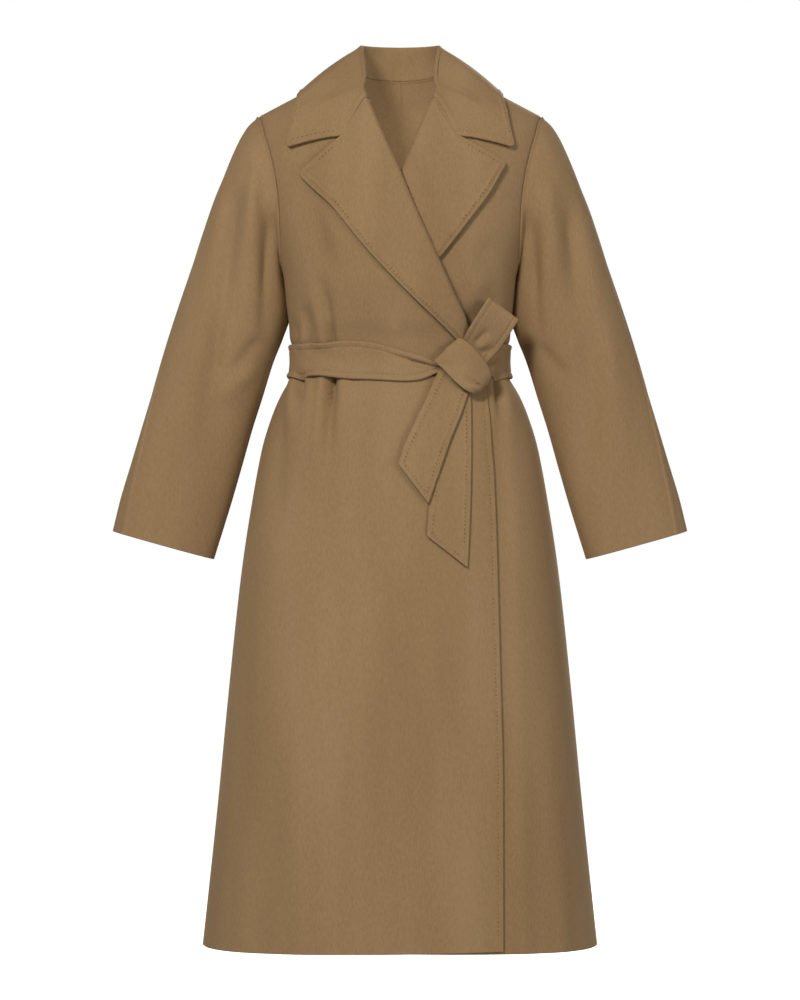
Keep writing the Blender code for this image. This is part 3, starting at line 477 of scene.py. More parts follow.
@dataclass(frozen=True)
class Cloth:
    """How a grid of points becomes a sewn shell."""

    wall: float = 2.0 * MM
    seams: tuple[Edge, ...] = ()
    stitched: tuple[Edge, ...] = ()
    seam_dip: float = 0.9 * MM
    seam_reach: float = 3.2 * MM
    stitch_in: float = 7.0 * MM
    stitch_dip: float = 0.45 * MM
    stitch_reach: float = 1.7 * MM
    roll: float = 0.5
    two_sided: bool = False
    sewn_side: Edge = Edge.START
    sewn_length: float = -1.0

    def distances(self, grid: Array) -> dict[Edge, Array]:
        """Distance along the cloth from each border, for every point.

        Args:
            grid: rows and columns of places.

        Returns:
            One array for each border.
        """
        across = np.linalg.norm(np.diff(grid, axis=1), axis=-1)
        along = np.linalg.norm(np.diff(grid, axis=0), axis=-1)
        from_start = np.concatenate([np.zeros((grid.shape[0], 1)), np.cumsum(across, 1)], axis=1)
        from_low = np.concatenate([np.zeros((1, grid.shape[1])), np.cumsum(along, 0)], axis=0)
        return {
            Edge.START: from_start, Edge.END: from_start[:, -1:] - from_start,
            Edge.LOW: from_low, Edge.HIGH: from_low[-1:, :] - from_low,
        }

    def normals(self, grid: Array) -> Array:
        """The cloth's outward direction at every point, from its neighbours."""
        wide = np.pad(grid, ((1, 1), (1, 1), (0, 0)), mode="edge")
        along = wide[1:-1, 2:] - wide[1:-1, :-2]
        up = wide[2:, 1:-1] - wide[:-2, 1:-1]
        return unit(np.cross(along, up))

    def dipped(self, grid: Array) -> Array:
        """The grid with its seam borders drawn in and a shallow channel along its pick stitches."""
        apart = self.distances(grid)
        sink = np.zeros(grid.shape[:2])
        for edge in self.seams:
            sink = np.maximum(sink, self.seam_dip * np.exp(-((apart[edge] / self.seam_reach) ** 2)))
        if self.stitched:
            near = np.minimum.reduce([apart[edge] for edge in self.stitched])
            sink += self.stitch_dip * np.exp(-(((near - self.stitch_in) / self.stitch_reach) ** 2))
        return grid - self.normals(grid) * sink[..., None]

    def stitch_place(self, apart: dict[Edge, Array]) -> tuple[Array, Array]:
        """Each point's distance from the nearest stitched border, and its place along that border."""
        near, run = np.full(apart[Edge.LOW].shape, NO_STITCH), apart[Edge.LOW]
        for edge in self.stitched:
            closer = apart[edge] < near
            if edge in (Edge.LOW, Edge.HIGH):
                closer &= apart[self.sewn_side] > self.sewn_length
            near = np.where(closer, apart[edge], near)
            run = np.where(closer, apart[Edge.LOW if edge in (Edge.START, Edge.END) else Edge.START], run)
        return near, run

    def rim(self, middle: Array, ring: Array) -> Array:
        """The places of the soft rim, which stands out past each border.

        Args:
            middle: rows and columns of places on the cloth's middle.
            ring: row and column of each border point, once round.

        Returns:
            A place for each border point.
        """
        wide = np.pad(middle, ((1, 1), (1, 1), (0, 0)), mode="edge")
        for axis, end, inner in ((0, 0, 1), (0, -1, -2), (1, 0, 1), (1, -1, -2)):
            border = np.take(middle, end, axis)
            out = unit(border - np.take(middle, inner, axis)) * (self.wall / 2) * self.roll
            if axis == 0:
                wide[end, 1:-1] = border + out
            else:
                wide[1:-1, end] = border + out
        for i, k in ((0, 0), (0, -1), (-1, 0), (-1, -1)):
            wide[i, k] = (wide[i, 1 if k == 0 else -2] + wide[1 if i == 0 else -2, k]) / 2
        last_row, last_column = np.array(middle.shape[:2]) - 1
        i, k = ring[:, 0], ring[:, 1]
        return wide[
            np.where(i == 0, 0, np.where(i == last_row, last_row + 2, i + 1)),
            np.where(k == 0, 0, np.where(k == last_column, last_column + 2, k + 1)),
        ]

    def shell(self, name: str, grid: Array) -> bpy.types.Object:
        """A closed shell about the grid, with soft rims, and its maps for the nap and the stitches.

        Args:
            name: the piece's name.
            grid: rows and columns of places on the cloth's middle.

        Returns:
            The new object, at the origin.
        """
        apart = self.distances(grid)
        near, run = self.stitch_place(apart)
        rows, columns = grid.shape[:2]
        count = rows * columns
        index = np.arange(count).reshape(rows, columns)
        ring = np.concatenate([
            np.stack([np.zeros(columns, int), np.arange(columns)], 1),
            np.stack([np.arange(1, rows), np.full(rows - 1, columns - 1)], 1),
            np.stack([np.full(columns - 1, rows - 1), np.arange(columns - 2, -1, -1)], 1),
            np.stack([np.arange(rows - 2, 0, -1), np.zeros(rows - 2, int)], 1),
        ])
        middle = self.dipped(grid)
        out = self.normals(middle) * (self.wall / 2)
        places = np.concatenate([(middle + out).reshape(-1, 3), (middle - out).reshape(-1, 3), self.rim(middle, ring)])
        corners = index[:-1, :-1], index[:-1, 1:], index[1:, 1:], index[1:, :-1]
        outer = np.stack([corner.ravel() for corner in corners], 1)
        under = outer[:, ::-1] + count
        border = index[ring[:, 0], ring[:, 1]]
        rim_index = np.arange(len(ring)) + 2 * count
        after = np.roll(np.arange(len(ring)), -1)
        upper = np.stack([border[after], border, rim_index, rim_index[after]], 1)
        lower = np.stack([rim_index[after], rim_index, border + count, border[after] + count], 1)
        mesh = bpy.data.meshes.new(name)
        mesh.from_pydata(places.tolist(), [], np.concatenate([outer, under, upper, lower]).tolist())
        flat = np.stack([apart[Edge.START], apart[Edge.LOW]], -1).reshape(-1, 2)
        stitch = np.stack([near + Cloth.stitch_in - self.stitch_in, run], -1).reshape(-1, 2)
        behind = stitch.copy()
        if not self.two_sided:
            behind[:, 0] = NO_STITCH
        used = np.empty(len(mesh.loops), dtype=np.int32)
        mesh.loops.foreach_get("vertex_index", used)
        for map_name, values in (
            ("cloth", np.concatenate([flat, flat, flat[border]])),
            ("stitch", np.concatenate([stitch, behind, np.zeros((len(ring), 2))])),
        ):
            layer = mesh.uv_layers.new(name=map_name)
            layer.data.foreach_set("uv", values[used].astype(np.float32).ravel())
        mesh.shade_smooth()
        made = bpy.data.objects.new(name, mesh)
        bpy.context.scene.collection.objects.link(made)
        return made


def spread(length: float, step: float, low: bool = True, high: bool = True) -> Array:
    """Shares from 0 to 1, close together near those ends that are sewn or stitched.

    Args:
        length: the strip's length.
        step: the usual distance between columns.
        low: whether the first end is fine.
        high: whether the last end is fine.

    Returns:
        Rising shares.
    """
    fine = np.array(NEAR_EDGE_MM) * MM
    first = fine if low else np.array([0.0])
    last = length - (fine[::-1] if high else np.array([0.0]))
    count = max(int(round((last[0] - first[-1]) / step)), 2)
    middle = np.linspace(first[-1], last[0], count + 1)[1:-1]
    return np.concatenate([first, middle, last]) / length


def rounded_corner(grid: Array, end: Edge, side: Edge, radius: float) -> Array:
    """The grid with one corner drawn in to a quarter circle.

    Args:
        grid: rows and columns of places.
        end: the corner's row border.
        side: the corner's column border.
        radius: the circle's radius.

    Returns:
        The changed grid.
    """
    apart = Cloth().distances(grid)
    u = np.clip(1 - apart[end] / radius, 0.0, 1.0)
    v = np.clip(1 - apart[side] / radius, 0.0, 1.0)
    inward = np.gradient(grid, axis=0) * (1 if end is Edge.LOW else -1)
    sideways = np.gradient(grid, axis=1) * (1 if side is Edge.START else -1)
    back = radius * u * (1 - np.sqrt(1 - v * v / 2))
    over = radius * v * (1 - np.sqrt(1 - u * u / 2))
    return grid + unit(inward) * back[..., None] + unit(sideways) * over[..., None]


def resampled(grid: Array, rows: Array, columns: Array) -> Array:
    """A smooth surface through a coarse grid, by a natural spline along both ways.

    Args:
        grid: coarse places.
        rows: fractional row numbers to take.
        columns: fractional column numbers to take.

    Returns:
        The finer grid.
    """
    def along(values: Array, at: Array) -> Array:
        """Catmull-Rom along the first axis, with the ends carried straight on."""
        ends = np.concatenate([2 * values[:1] - values[1:2], values, 2 * values[-1:] - values[-2:-1]])
        i = np.clip(np.floor(at).astype(int), 0, len(values) - 2)
        t = (at - i).reshape((-1,) + (1,) * (values.ndim - 1))
        p0, p1, p2, p3 = ends[i], ends[i + 1], ends[i + 2], ends[i + 3]
        square, cube = 2 * p0 - 5 * p1 + 4 * p2 - p3, 3 * p1 - p0 - 3 * p2 + p3
        return 0.5 * (2 * p1 + (p2 - p0) * t + square * t**2 + cube * t**3)

    fine = along(grid, rows)
    return np.swapaxes(along(np.swapaxes(fine, 0, 1), columns), 0, 1)


@dataclass
class CoatPiece:
    """What every sewn piece of the coat shares: the body's form and how a finished shell is handed over."""

    body: Body
    made: list[bpy.types.Object] = field(default_factory=list)

    def hand_over(self, piece: bpy.types.Object, node: str, flat: tuple[float, float], area: float,
                  held: str) -> None:
        """Puts a shell in place of its solid.

        Args:
            piece: the finished shell.
            node: the solid that it stands for.
            flat: width and length of the cut, in metres; not used.
            area: flat area of what shows, in square metres; not used.
            held: how the cloth is held; not used.
        """
        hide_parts(node)
        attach(piece, "root")
        self.made.append(piece)
        LOG.info("%s: %d faces", piece.name, len(piece.data.polygons))


@dataclass
class Panels(CoatPiece):
    """The four body panels: the two fronts, which lap over, and the two backs, sewn at the centre."""

    seam_gap: float = 0.05 * MM
    step: float = 3.2 * MM
    back_step: float = 4.2 * MM
    usual_width: float = 0.30
    hem: tuple[float, float, float] = (-1.2155, -1.2075, -1.2110)
    shared_heights: tuple[float, ...] = (
        -1.10, -0.98, -0.86, -0.75, -0.65, -0.57, -0.51, -0.475, -0.452, -0.438, -0.4265, -0.415,
        -0.402, -0.390, -0.3785, -0.367, -0.352,
    )
    front_top: tuple[Row, ...] = table(
        Row, 1.0,
        (-0.33, -0.323), (-0.308, -0.292), (-0.285, -0.257), (-0.26, -0.222), (-0.235, -0.188), (-0.21, -0.156),
        (-0.185, -0.128), (-0.16, -0.103), (-0.137, -0.08), (-0.117, -0.06), (-0.1, -0.042), (-0.087, -0.03),
        (-0.077, -0.018), (-0.069, -0.006), (-0.0635, 0.004), (-0.0605, 0.012),
    )
    back_top: tuple[Row, ...] = table(
        Row, 1.0,
        (-0.33, -0.323), (-0.308, -0.287), (-0.285, -0.247), (-0.26, -0.205), (-0.235, -0.163), (-0.21, -0.122),
        (-0.185, -0.085), (-0.16, -0.052), (-0.137, -0.024), (-0.117, -0.002), (-0.1, -0.0014), (-0.087, -0.0002),
        (-0.077, 0.002), (-0.069, 0.0055), (-0.0635, 0.009), (-0.0605, 0.012),
    )
    back_neck: tuple[Line, ...] = table(
        Line, 1.0,
        (-0.002, 0.0), (-0.001, 0.02), (0.001, 0.04), (0.006, 0.0545), (0.012, 0.06),
    )

    def rows(self, face: Face) -> list[Row]:
        """The panel's rows from hem to shoulder."""
        low = Row(self.hem[0], self.hem[1] if face is Face.FRONT else self.hem[2])
        top = self.front_top if face is Face.FRONT else self.back_top
        return [low] + [Row(z, z) for z in self.shared_heights] + list(top)

    def grid(self, face: Face, side: Side, lift: Callable[[Array, Array], Array] | None = None) -> Array:
        """The panel's places, each row from the inner edge to the side seam, the armhole or the shoulder's tip.

        Args:
            face: front or back.
            side: the wearer's side.
            lift: how far the cloth lies outside the body's form, by world x and height.

        Returns:
            Rows of places from hem to shoulder.
        """
        rows = self.rows(face)
        outer = np.array([row.outer_z for row in rows])
        climbed = np.abs(np.diff(outer)) + np.abs(np.diff([row.inner_z for row in rows]))
        walked = np.concatenate([[0.0], np.cumsum(climbed)])
        length = walked[-1] / 2
        step = self.step if face is Face.FRONT else self.back_step
        at = np.interp(spread(length, step) * walked[-1], walked, np.arange(len(rows)))
        table = refined(rows, at)
        outer_z, inner_z = table["outer_z"], table["inner_z"]
        inner_edge = self.body.front_edge if face is Face.FRONT else self.back_neck
        inner_x = curve_of(inner_edge, "x")(inner_z)
        start = self.body.angle_at(inner_x, inner_z, face)
        free = (inner_x < 0) & (inner_z < 0)
        start = start + np.where(free, 0.0, self.seam_gap) / self.body.exact_width(inner_z, face)
        low, high = self.body.pit[1], self.body.tip[1]
        end = np.where(
            (outer_z <= low) | (outer_z >= high), math.pi / 2 - self.seam_gap / self.body.half_depth(outer_z, face),
            self.body.armhole_angle(outer_z, face),
        )
        share = spread(self.usual_width, step)[None, :]
        z = mix(inner_z[:, None], outer_z[:, None], share)
        angle = mix(start[:, None], end[:, None], share)
        angle[-1] = math.pi / 2 - self.seam_gap / self.body.half_depth(z[-1], face)
        x = side.value * self.body.half_width(z, face, angle) * self.body.bow(angle)
        return self.body.surface(side.value * angle, z, face, 0.0 if lift is None else lift(x, z))

    def build(self) -> None:
        """Makes the four panels."""
        cut = {
            "front_right": (Face.FRONT, Side.RIGHT, (0.415, 1.235), 0.415),
            "front_left": (Face.FRONT, Side.LEFT, (0.415, 1.235), 0.415),
            "back_right": (Face.BACK, Side.RIGHT, (0.32, 1.235), 0.31),
            "back_left": (Face.BACK, Side.LEFT, (0.32, 1.235), 0.31),
        }
        for name, (face, side, flat, area) in cut.items():
            lift = (lambda x, z: -self.body.drop(x, z)) if name == "front_left" else None
            grid = self.grid(face, side, lift)
            inner, outer = Edge.START, Edge.END
            if side.value * face.value > 0:
                grid = grid[:, ::-1]
                inner, outer = outer, inner
            if face is Face.FRONT:
                cloth = Cloth(seams=(outer, Edge.HIGH), stitched=(inner,))
            else:
                cloth = Cloth(seams=(inner, outer, Edge.HIGH))
            self.hand_over(cloth.shell(name + "_cloth", grid), name, flat, area, "hung")


@dataclass
class Sleeves(CoatPiece):
    """Two set-in sleeves, each a front and a back half, with an outer seam that swings forward to the cuff."""

    seam_gap: float = 0.05 * MM
    step: float = 3.6 * MM
    usual_width: float = 0.20
    length: float = 0.62
    fine_rings: int = 150
    armhole_rings: float = 5
    rings: tuple[Ring, ...] = table(
        Ring, 1.0,
        (0.198, -0.0605, 0.163, -0.285, 0.072, -35), (0.2108, -0.072, 0.163, -0.289, 0.072, -33),
        (0.2225, -0.09, 0.1606, -0.297, 0.072, -31), (0.2339, -0.114, 0.1582, -0.308, 0.072, -28),
        (0.245, -0.141, 0.1566, -0.322, 0.071, -25), (0.26, -0.18, 0.157, -0.34, 0.069, -20),
        (0.2778, -0.231, 0.166, -0.368, 0.065, -14), (0.2955, -0.287, 0.1795, -0.402, 0.06, -8),
        (0.3223, -0.371, 0.195, -0.452, 0.053, 2), (0.3399, -0.427, 0.209, -0.496, 0.048, 11),
        (0.3571, -0.483, 0.2228, -0.545, 0.044, 20), (0.3738, -0.539, 0.2378, -0.597, 0.041, 27),
        (0.3906, -0.595, 0.252, -0.643, 0.038, 34), (0.4012, -0.6384, 0.2626, -0.677, 0.036, 38),
    )
    front_creases: tuple[Fold, ...] = table(
        Fold, MM,
        (-0.233, -0.185, -0.256, -0.45, 0.012, -5.5), (-0.25, -0.2, -0.278, -0.42, 0.012, 4.0),
        (0.238, -0.2, 0.26, -0.45, 0.013, -4.5), (0.256, -0.21, 0.282, -0.42, 0.012, 3.0),
        (-0.174, -0.215, -0.17, -0.385, 0.011, -5.0), (-0.188, -0.34, -0.183, -0.12, 0.009, -4.5),
        (-0.201, -0.14, -0.205, -0.26, 0.008, 4.0), (-0.156, -0.3, -0.154, -0.24, 0.007, -3.0),
        (0.174, -0.215, 0.17, -0.385, 0.011, -5.0), (0.189, -0.34, 0.184, -0.13, 0.009, -4.0),
        (-0.18, -0.225, -0.172, -0.372, 0.0085, -7.1), (-0.186, -0.29, -0.188, -0.13, 0.006, -4.4),
        (-0.205, -0.175, -0.212, -0.3, 0.009, 4.4), (-0.23, -0.195, -0.256, -0.36, 0.011, -6.1),
        (-0.254, -0.4, -0.244, -0.25, 0.01, -3.7), (-0.256, -0.37, -0.272, -0.56, 0.012, -5.1),
        (-0.284, -0.4, -0.31, -0.58, 0.016, 4.4), (-0.202, -0.38, -0.245, -0.44, 0.008, -4.1),
        (-0.212, -0.42, -0.27, -0.47, 0.009, 3.4), (-0.33, -0.64, -0.308, -0.48, 0.012, -3.7),
        (0.179, -0.225, 0.171, -0.372, 0.0095, -7.5), (0.187, -0.29, 0.188, -0.13, 0.0065, -4.4),
        (0.207, -0.18, 0.216, -0.31, 0.0095, 4.4), (0.236, -0.215, 0.25, -0.36, 0.012, -5.4),
        (0.26, -0.39, 0.28, -0.56, 0.013, -4.8), (0.29, -0.38, 0.312, -0.6, 0.015, 4.1),
        (0.2, -0.39, 0.248, -0.45, 0.0085, -4.1), (0.338, -0.65, 0.318, -0.5, 0.012, -3.4),
    )
    back_creases: tuple[Fold, ...] = table(
        Fold, MM,
        (-0.182, -0.225, -0.174, -0.365, 0.009, -6.8), (-0.212, -0.19, -0.226, -0.32, 0.01, 4.1),
        (-0.2, -0.37, -0.256, -0.42, 0.0085, -5.1), (-0.21, -0.41, -0.278, -0.47, 0.009, -4.4),
        (-0.206, -0.392, -0.266, -0.442, 0.008, 3.7), (-0.27, -0.48, -0.298, -0.64, 0.013, -4.1),
        (0.182, -0.225, 0.174, -0.365, 0.009, -6.8), (0.214, -0.195, 0.226, -0.33, 0.01, 4.1),
        (0.201, -0.365, 0.258, -0.425, 0.0085, -4.8), (0.212, -0.415, 0.276, -0.465, 0.009, -4.8),
        (0.207, -0.39, 0.264, -0.446, 0.008, 3.7), (0.272, -0.49, 0.296, -0.64, 0.013, -4.1),
    )

    def armhole(self, turn: Array, side: Side) -> Array:
        """The armhole's edge: turn 0 is the shoulder's tip, a quarter the front, a half the pit."""
        low, high = self.body.pit[1], self.body.tip[1]
        z = (high + low) / 2 + (high - low) / 2 * np.cos(turn)
        front = self.body.surface(side.value * self.body.armhole_angle(z, Face.FRONT), z, Face.FRONT)
        back = self.body.surface(side.value * self.body.armhole_angle(z, Face.BACK), z, Face.BACK)
        return np.where((np.sin(turn) >= 0)[..., None], front, back)

    def grid(self, side: Side, face: Face) -> Array:
        """Rings of one half, leaving the armhole's own curve over the first rings.

        Args:
            side: the wearer's side.
            face: the sleeve's front or back half.

        Returns:
            Rows of places from the armhole to the cuff.
        """
        at = np.linspace(0, len(self.rings) - 1, self.fine_rings)
        ring = refined(self.rings, at)
        blend = ease(0, self.armhole_rings, at)[:, None]
        gap = self.seam_gap / ring["depth"]
        seam = np.radians(ring["seam_turn"])
        start, stop = seam + gap, math.pi - gap
        if face is Face.BACK:
            start, stop = math.pi + gap, 2 * math.pi + seam - gap
        share = spread(self.usual_width, self.step)[None, :]
        turn = mix(start[:, None], stop[:, None], share)
        hub = points((ring["out_x"] + ring["in_x"]) / 2, 0.0, (ring["out_z"] + ring["in_z"]) / 2)[:, None]
        reach = points((ring["out_x"] - ring["in_x"]) / 2, 0.0, (ring["out_z"] - ring["in_z"]) / 2)[:, None]
        deep = points(0.0, ring["depth"], 0.0)[:, None]
        oval = hub + reach * np.cos(turn)[..., None] - deep * np.sin(turn)[..., None]
        flat = hub[:1] + reach[:1] * np.cos(turn)[..., None] - deep[:1] * np.sin(turn)[..., None]
        mirror = np.array([side.value, 1.0, 1.0])
        oval, flat, hub = oval * mirror, flat * mirror, hub * mirror
        grid = oval + (self.armhole(turn, side) - flat) * (1 - blend)[..., None]
        creases = self.front_creases if face is Face.FRONT else self.back_creases
        out = unit(oval - hub)
        rise = self.body.fold_height(grid[..., 0], grid[..., 2], creases)
        edge = np.minimum(share, 1 - share)
        grid = grid + out * (rise * ease(0.0, 0.12, edge) * ease(0.0, 1.2, at)[:, None])[..., None]
        walked = np.concatenate(
            [np.zeros((1, grid.shape[1])), np.cumsum(np.linalg.norm(np.diff(grid, axis=0), axis=-1), 0)])
        shares = spread(self.length, self.step)
        fine = np.empty((len(shares), grid.shape[1], 3))
        for j in range(grid.shape[1]):
            for k in range(3):
                fine[:, j, k] = np.interp(walked[-1, j] * shares, walked[:, j], grid[:, j, k])
        return fine

    def build(self) -> None:
        """Makes both halves of both sleeves."""
        for side, word in ((Side.RIGHT, "right"), (Side.LEFT, "left")):
            for face, half in ((Face.FRONT, "front"), (Face.BACK, "back")):
                name = f"sleeve_{word}_{half}"
                grid = self.grid(side, face)
                if side is Side.LEFT:
                    grid = grid[:, ::-1]
                outer = Edge.START if (face is Face.FRONT) == (side is Side.RIGHT) else Edge.END
                cloth = Cloth(
                    seams=(Edge.START, Edge.END, Edge.LOW), stitched=(outer,) if face is Face.FRONT else (),
                    stitch_in=2.6 * MM, stitch_dip=0.9 * MM, seam_dip=1.5 * MM)
                self.hand_over(cloth.shell(name + "_cloth", grid), name, (0.215, 0.60), 0.105, "hung")


ROLL_HOOK = ((-0.8, -4.2), (-2.9, -2.8), (-3.6, -0.2), (-2.1, 2.9), (1.6, 4.8))
"""The rolled edge's section in millimetres: across the roll line towards the own side, and out from the front."""

GORGE_CORNER = (0.0790, -0.0935)
GORGE_TOP = (0.0488, -0.0412)
LEAF = Cloth(wall=3.2 * MM, stitch_dip=1.2 * MM, stitch_reach=2.2 * MM, roll=0.9, two_sided=True)
"""What the lapels and the collar have in common."""


@dataclass
class Lapels(CoatPiece):
    """The fronts' turned-back parts, rolled round the roll line, then lying on the front up to their own edge."""

    leaf_lift: float = 5.0 * MM
    edge_lift: float = 3.0 * MM
    tip_radius: float = 7.0 * MM
    gorge_length: float = 0.066
    corner_share: float = 3 / 7
    step: float = 3.0 * MM
    row_step: float = 4.0 * MM
    columns: int = 7
    parts: int = 2
    over: tuple[LapelRow, ...] = table(
        LapelRow, 1.0,
        (0.0483, -0.043, 0.139, -0.146), (0.0384, -0.066, 0.1325, -0.1545), (0.0237, -0.101, 0.1145, -0.172),
        (0.0071, -0.1375, 0.0932, -0.192), (-0.0135, -0.1885, 0.0745, -0.2155), (-0.0362, -0.2395, 0.05, -0.246),
        (-0.0538, -0.278, 0.0158, -0.2835), (-0.0718, -0.318, -0.0197, -0.319), (-0.0828, -0.34, -0.0497, -0.347),
        (-0.0905, -0.359, -0.074, -0.37), (-0.096, -0.378, -0.088, -0.386),
    )
    under: tuple[LapelRow, ...] = table(
        LapelRow, 1.0,
        (0.0483, -0.043, 0.1465, -0.132), (0.0384, -0.066, 0.1405, -0.141), (0.0237, -0.101, 0.124, -0.171),
        (0.0085, -0.1375, 0.102, -0.201), (-0.012, -0.1885, 0.08, -0.23), (-0.0362, -0.2395, 0.0553, -0.2605),
        (-0.0538, -0.278, 0.02, -0.293), (-0.0718, -0.318, -0.017, -0.327), (-0.0828, -0.34, -0.047, -0.351),
        (-0.09, -0.3575, -0.0765, -0.368),
    )

    def grid(self, rows: Sequence[LapelRow], side: Side, bulge: float) -> Array:
        """One lapel's places, from its top row down, each row from the roll line to the edge.

        Args:
            rows: the table.
            side: the wearer's side.
            bulge: how far the leaf swells between roll and edge.

        Returns:
            The coarse grid.
        """
        numbers = np.arange((len(rows) - 1) * self.parts + 1)
        table = refined(rows, numbers / self.parts)
        roll = np.stack([table["roll_x"], table["roll_z"]], -1)
        edge = np.stack([table["edge_x"], table["edge_z"]], -1)
        padded = np.pad(roll, ((1, 1), (0, 0)), mode="edge")
        way = unit(padded[2:] - padded[:-2])
        across = np.stack([-way[:, 1], way[:, 0]], -1)
        bent = self.corner_share
        drop = self.body.drop if side is Side.LEFT else (lambda x, z: 0.0 * x)
        lines = []
        for step, height in ROLL_HOOK:
            place = roll + across * step * MM
            x = side.value * place[:, 0]
            lines.append(self.body.on_coat(x, place[:, 1], Face.FRONT, height * MM - drop(x, place[:, 1])))
        bend = np.maximum(1 - numbers / 5, 0.0) ** 2
        corner = np.array(GORGE_CORNER) - mix(roll[0], edge[0], bent)
        for j in range(1, self.columns + 1):
            share = j / self.columns
            tent = share / bent if share < bent else (1 - share) / (1 - bent)
            place = mix(roll + across * 1.6 * MM, edge, share) + corner * (bend * tent)[:, None]
            swell = bulge * math.sin(math.pi * share) * ease(1.0, 0.3, share) * ease(0, 6, numbers)
            swell = swell + self.edge_lift * float(ease(0.35, 1.0, share)) * ease(numbers[-1], numbers[-1] - 6, numbers)
            x = side.value * place[:, 0]
            lift = self.leaf_lift + swell - drop(x, place[:, 1])
            lines.append(self.body.on_coat(x, place[:, 1], Face.FRONT, lift))
        return np.stack(lines, axis=1)

    def build(self) -> None:
        """Makes both lapels."""
        for name, rows, side, bulge in (
            ("lapel_right", self.over, Side.RIGHT, 2.2 * MM), ("lapel_left", self.under, Side.LEFT, 0.6 * MM),
        ):
            coarse = self.grid(rows, side, bulge)
            columns = np.concatenate([
                np.linspace(0, 4, 17)[:-1], 4 + (coarse.shape[1] - 5) * spread(0.11, self.step, low=False)])
            along = spread(0.36, self.row_step, high=False) * (coarse.shape[0] - 1)
            grid = resampled(coarse, along, columns)
            outer, rolled = Edge.END, Edge.START
            if side is Side.RIGHT:
                grid = grid[:, ::-1]
                outer, rolled = rolled, outer
            grid = rounded_corner(grid, Edge.LOW, outer, self.tip_radius)
            cloth = replace(LEAF, stitched=(outer, Edge.LOW), sewn_side=rolled, sewn_length=self.gorge_length)
            self.hand_over(cloth.shell(name + "_cloth", grid), name, (0.165, 0.36), 0.040, "folded")


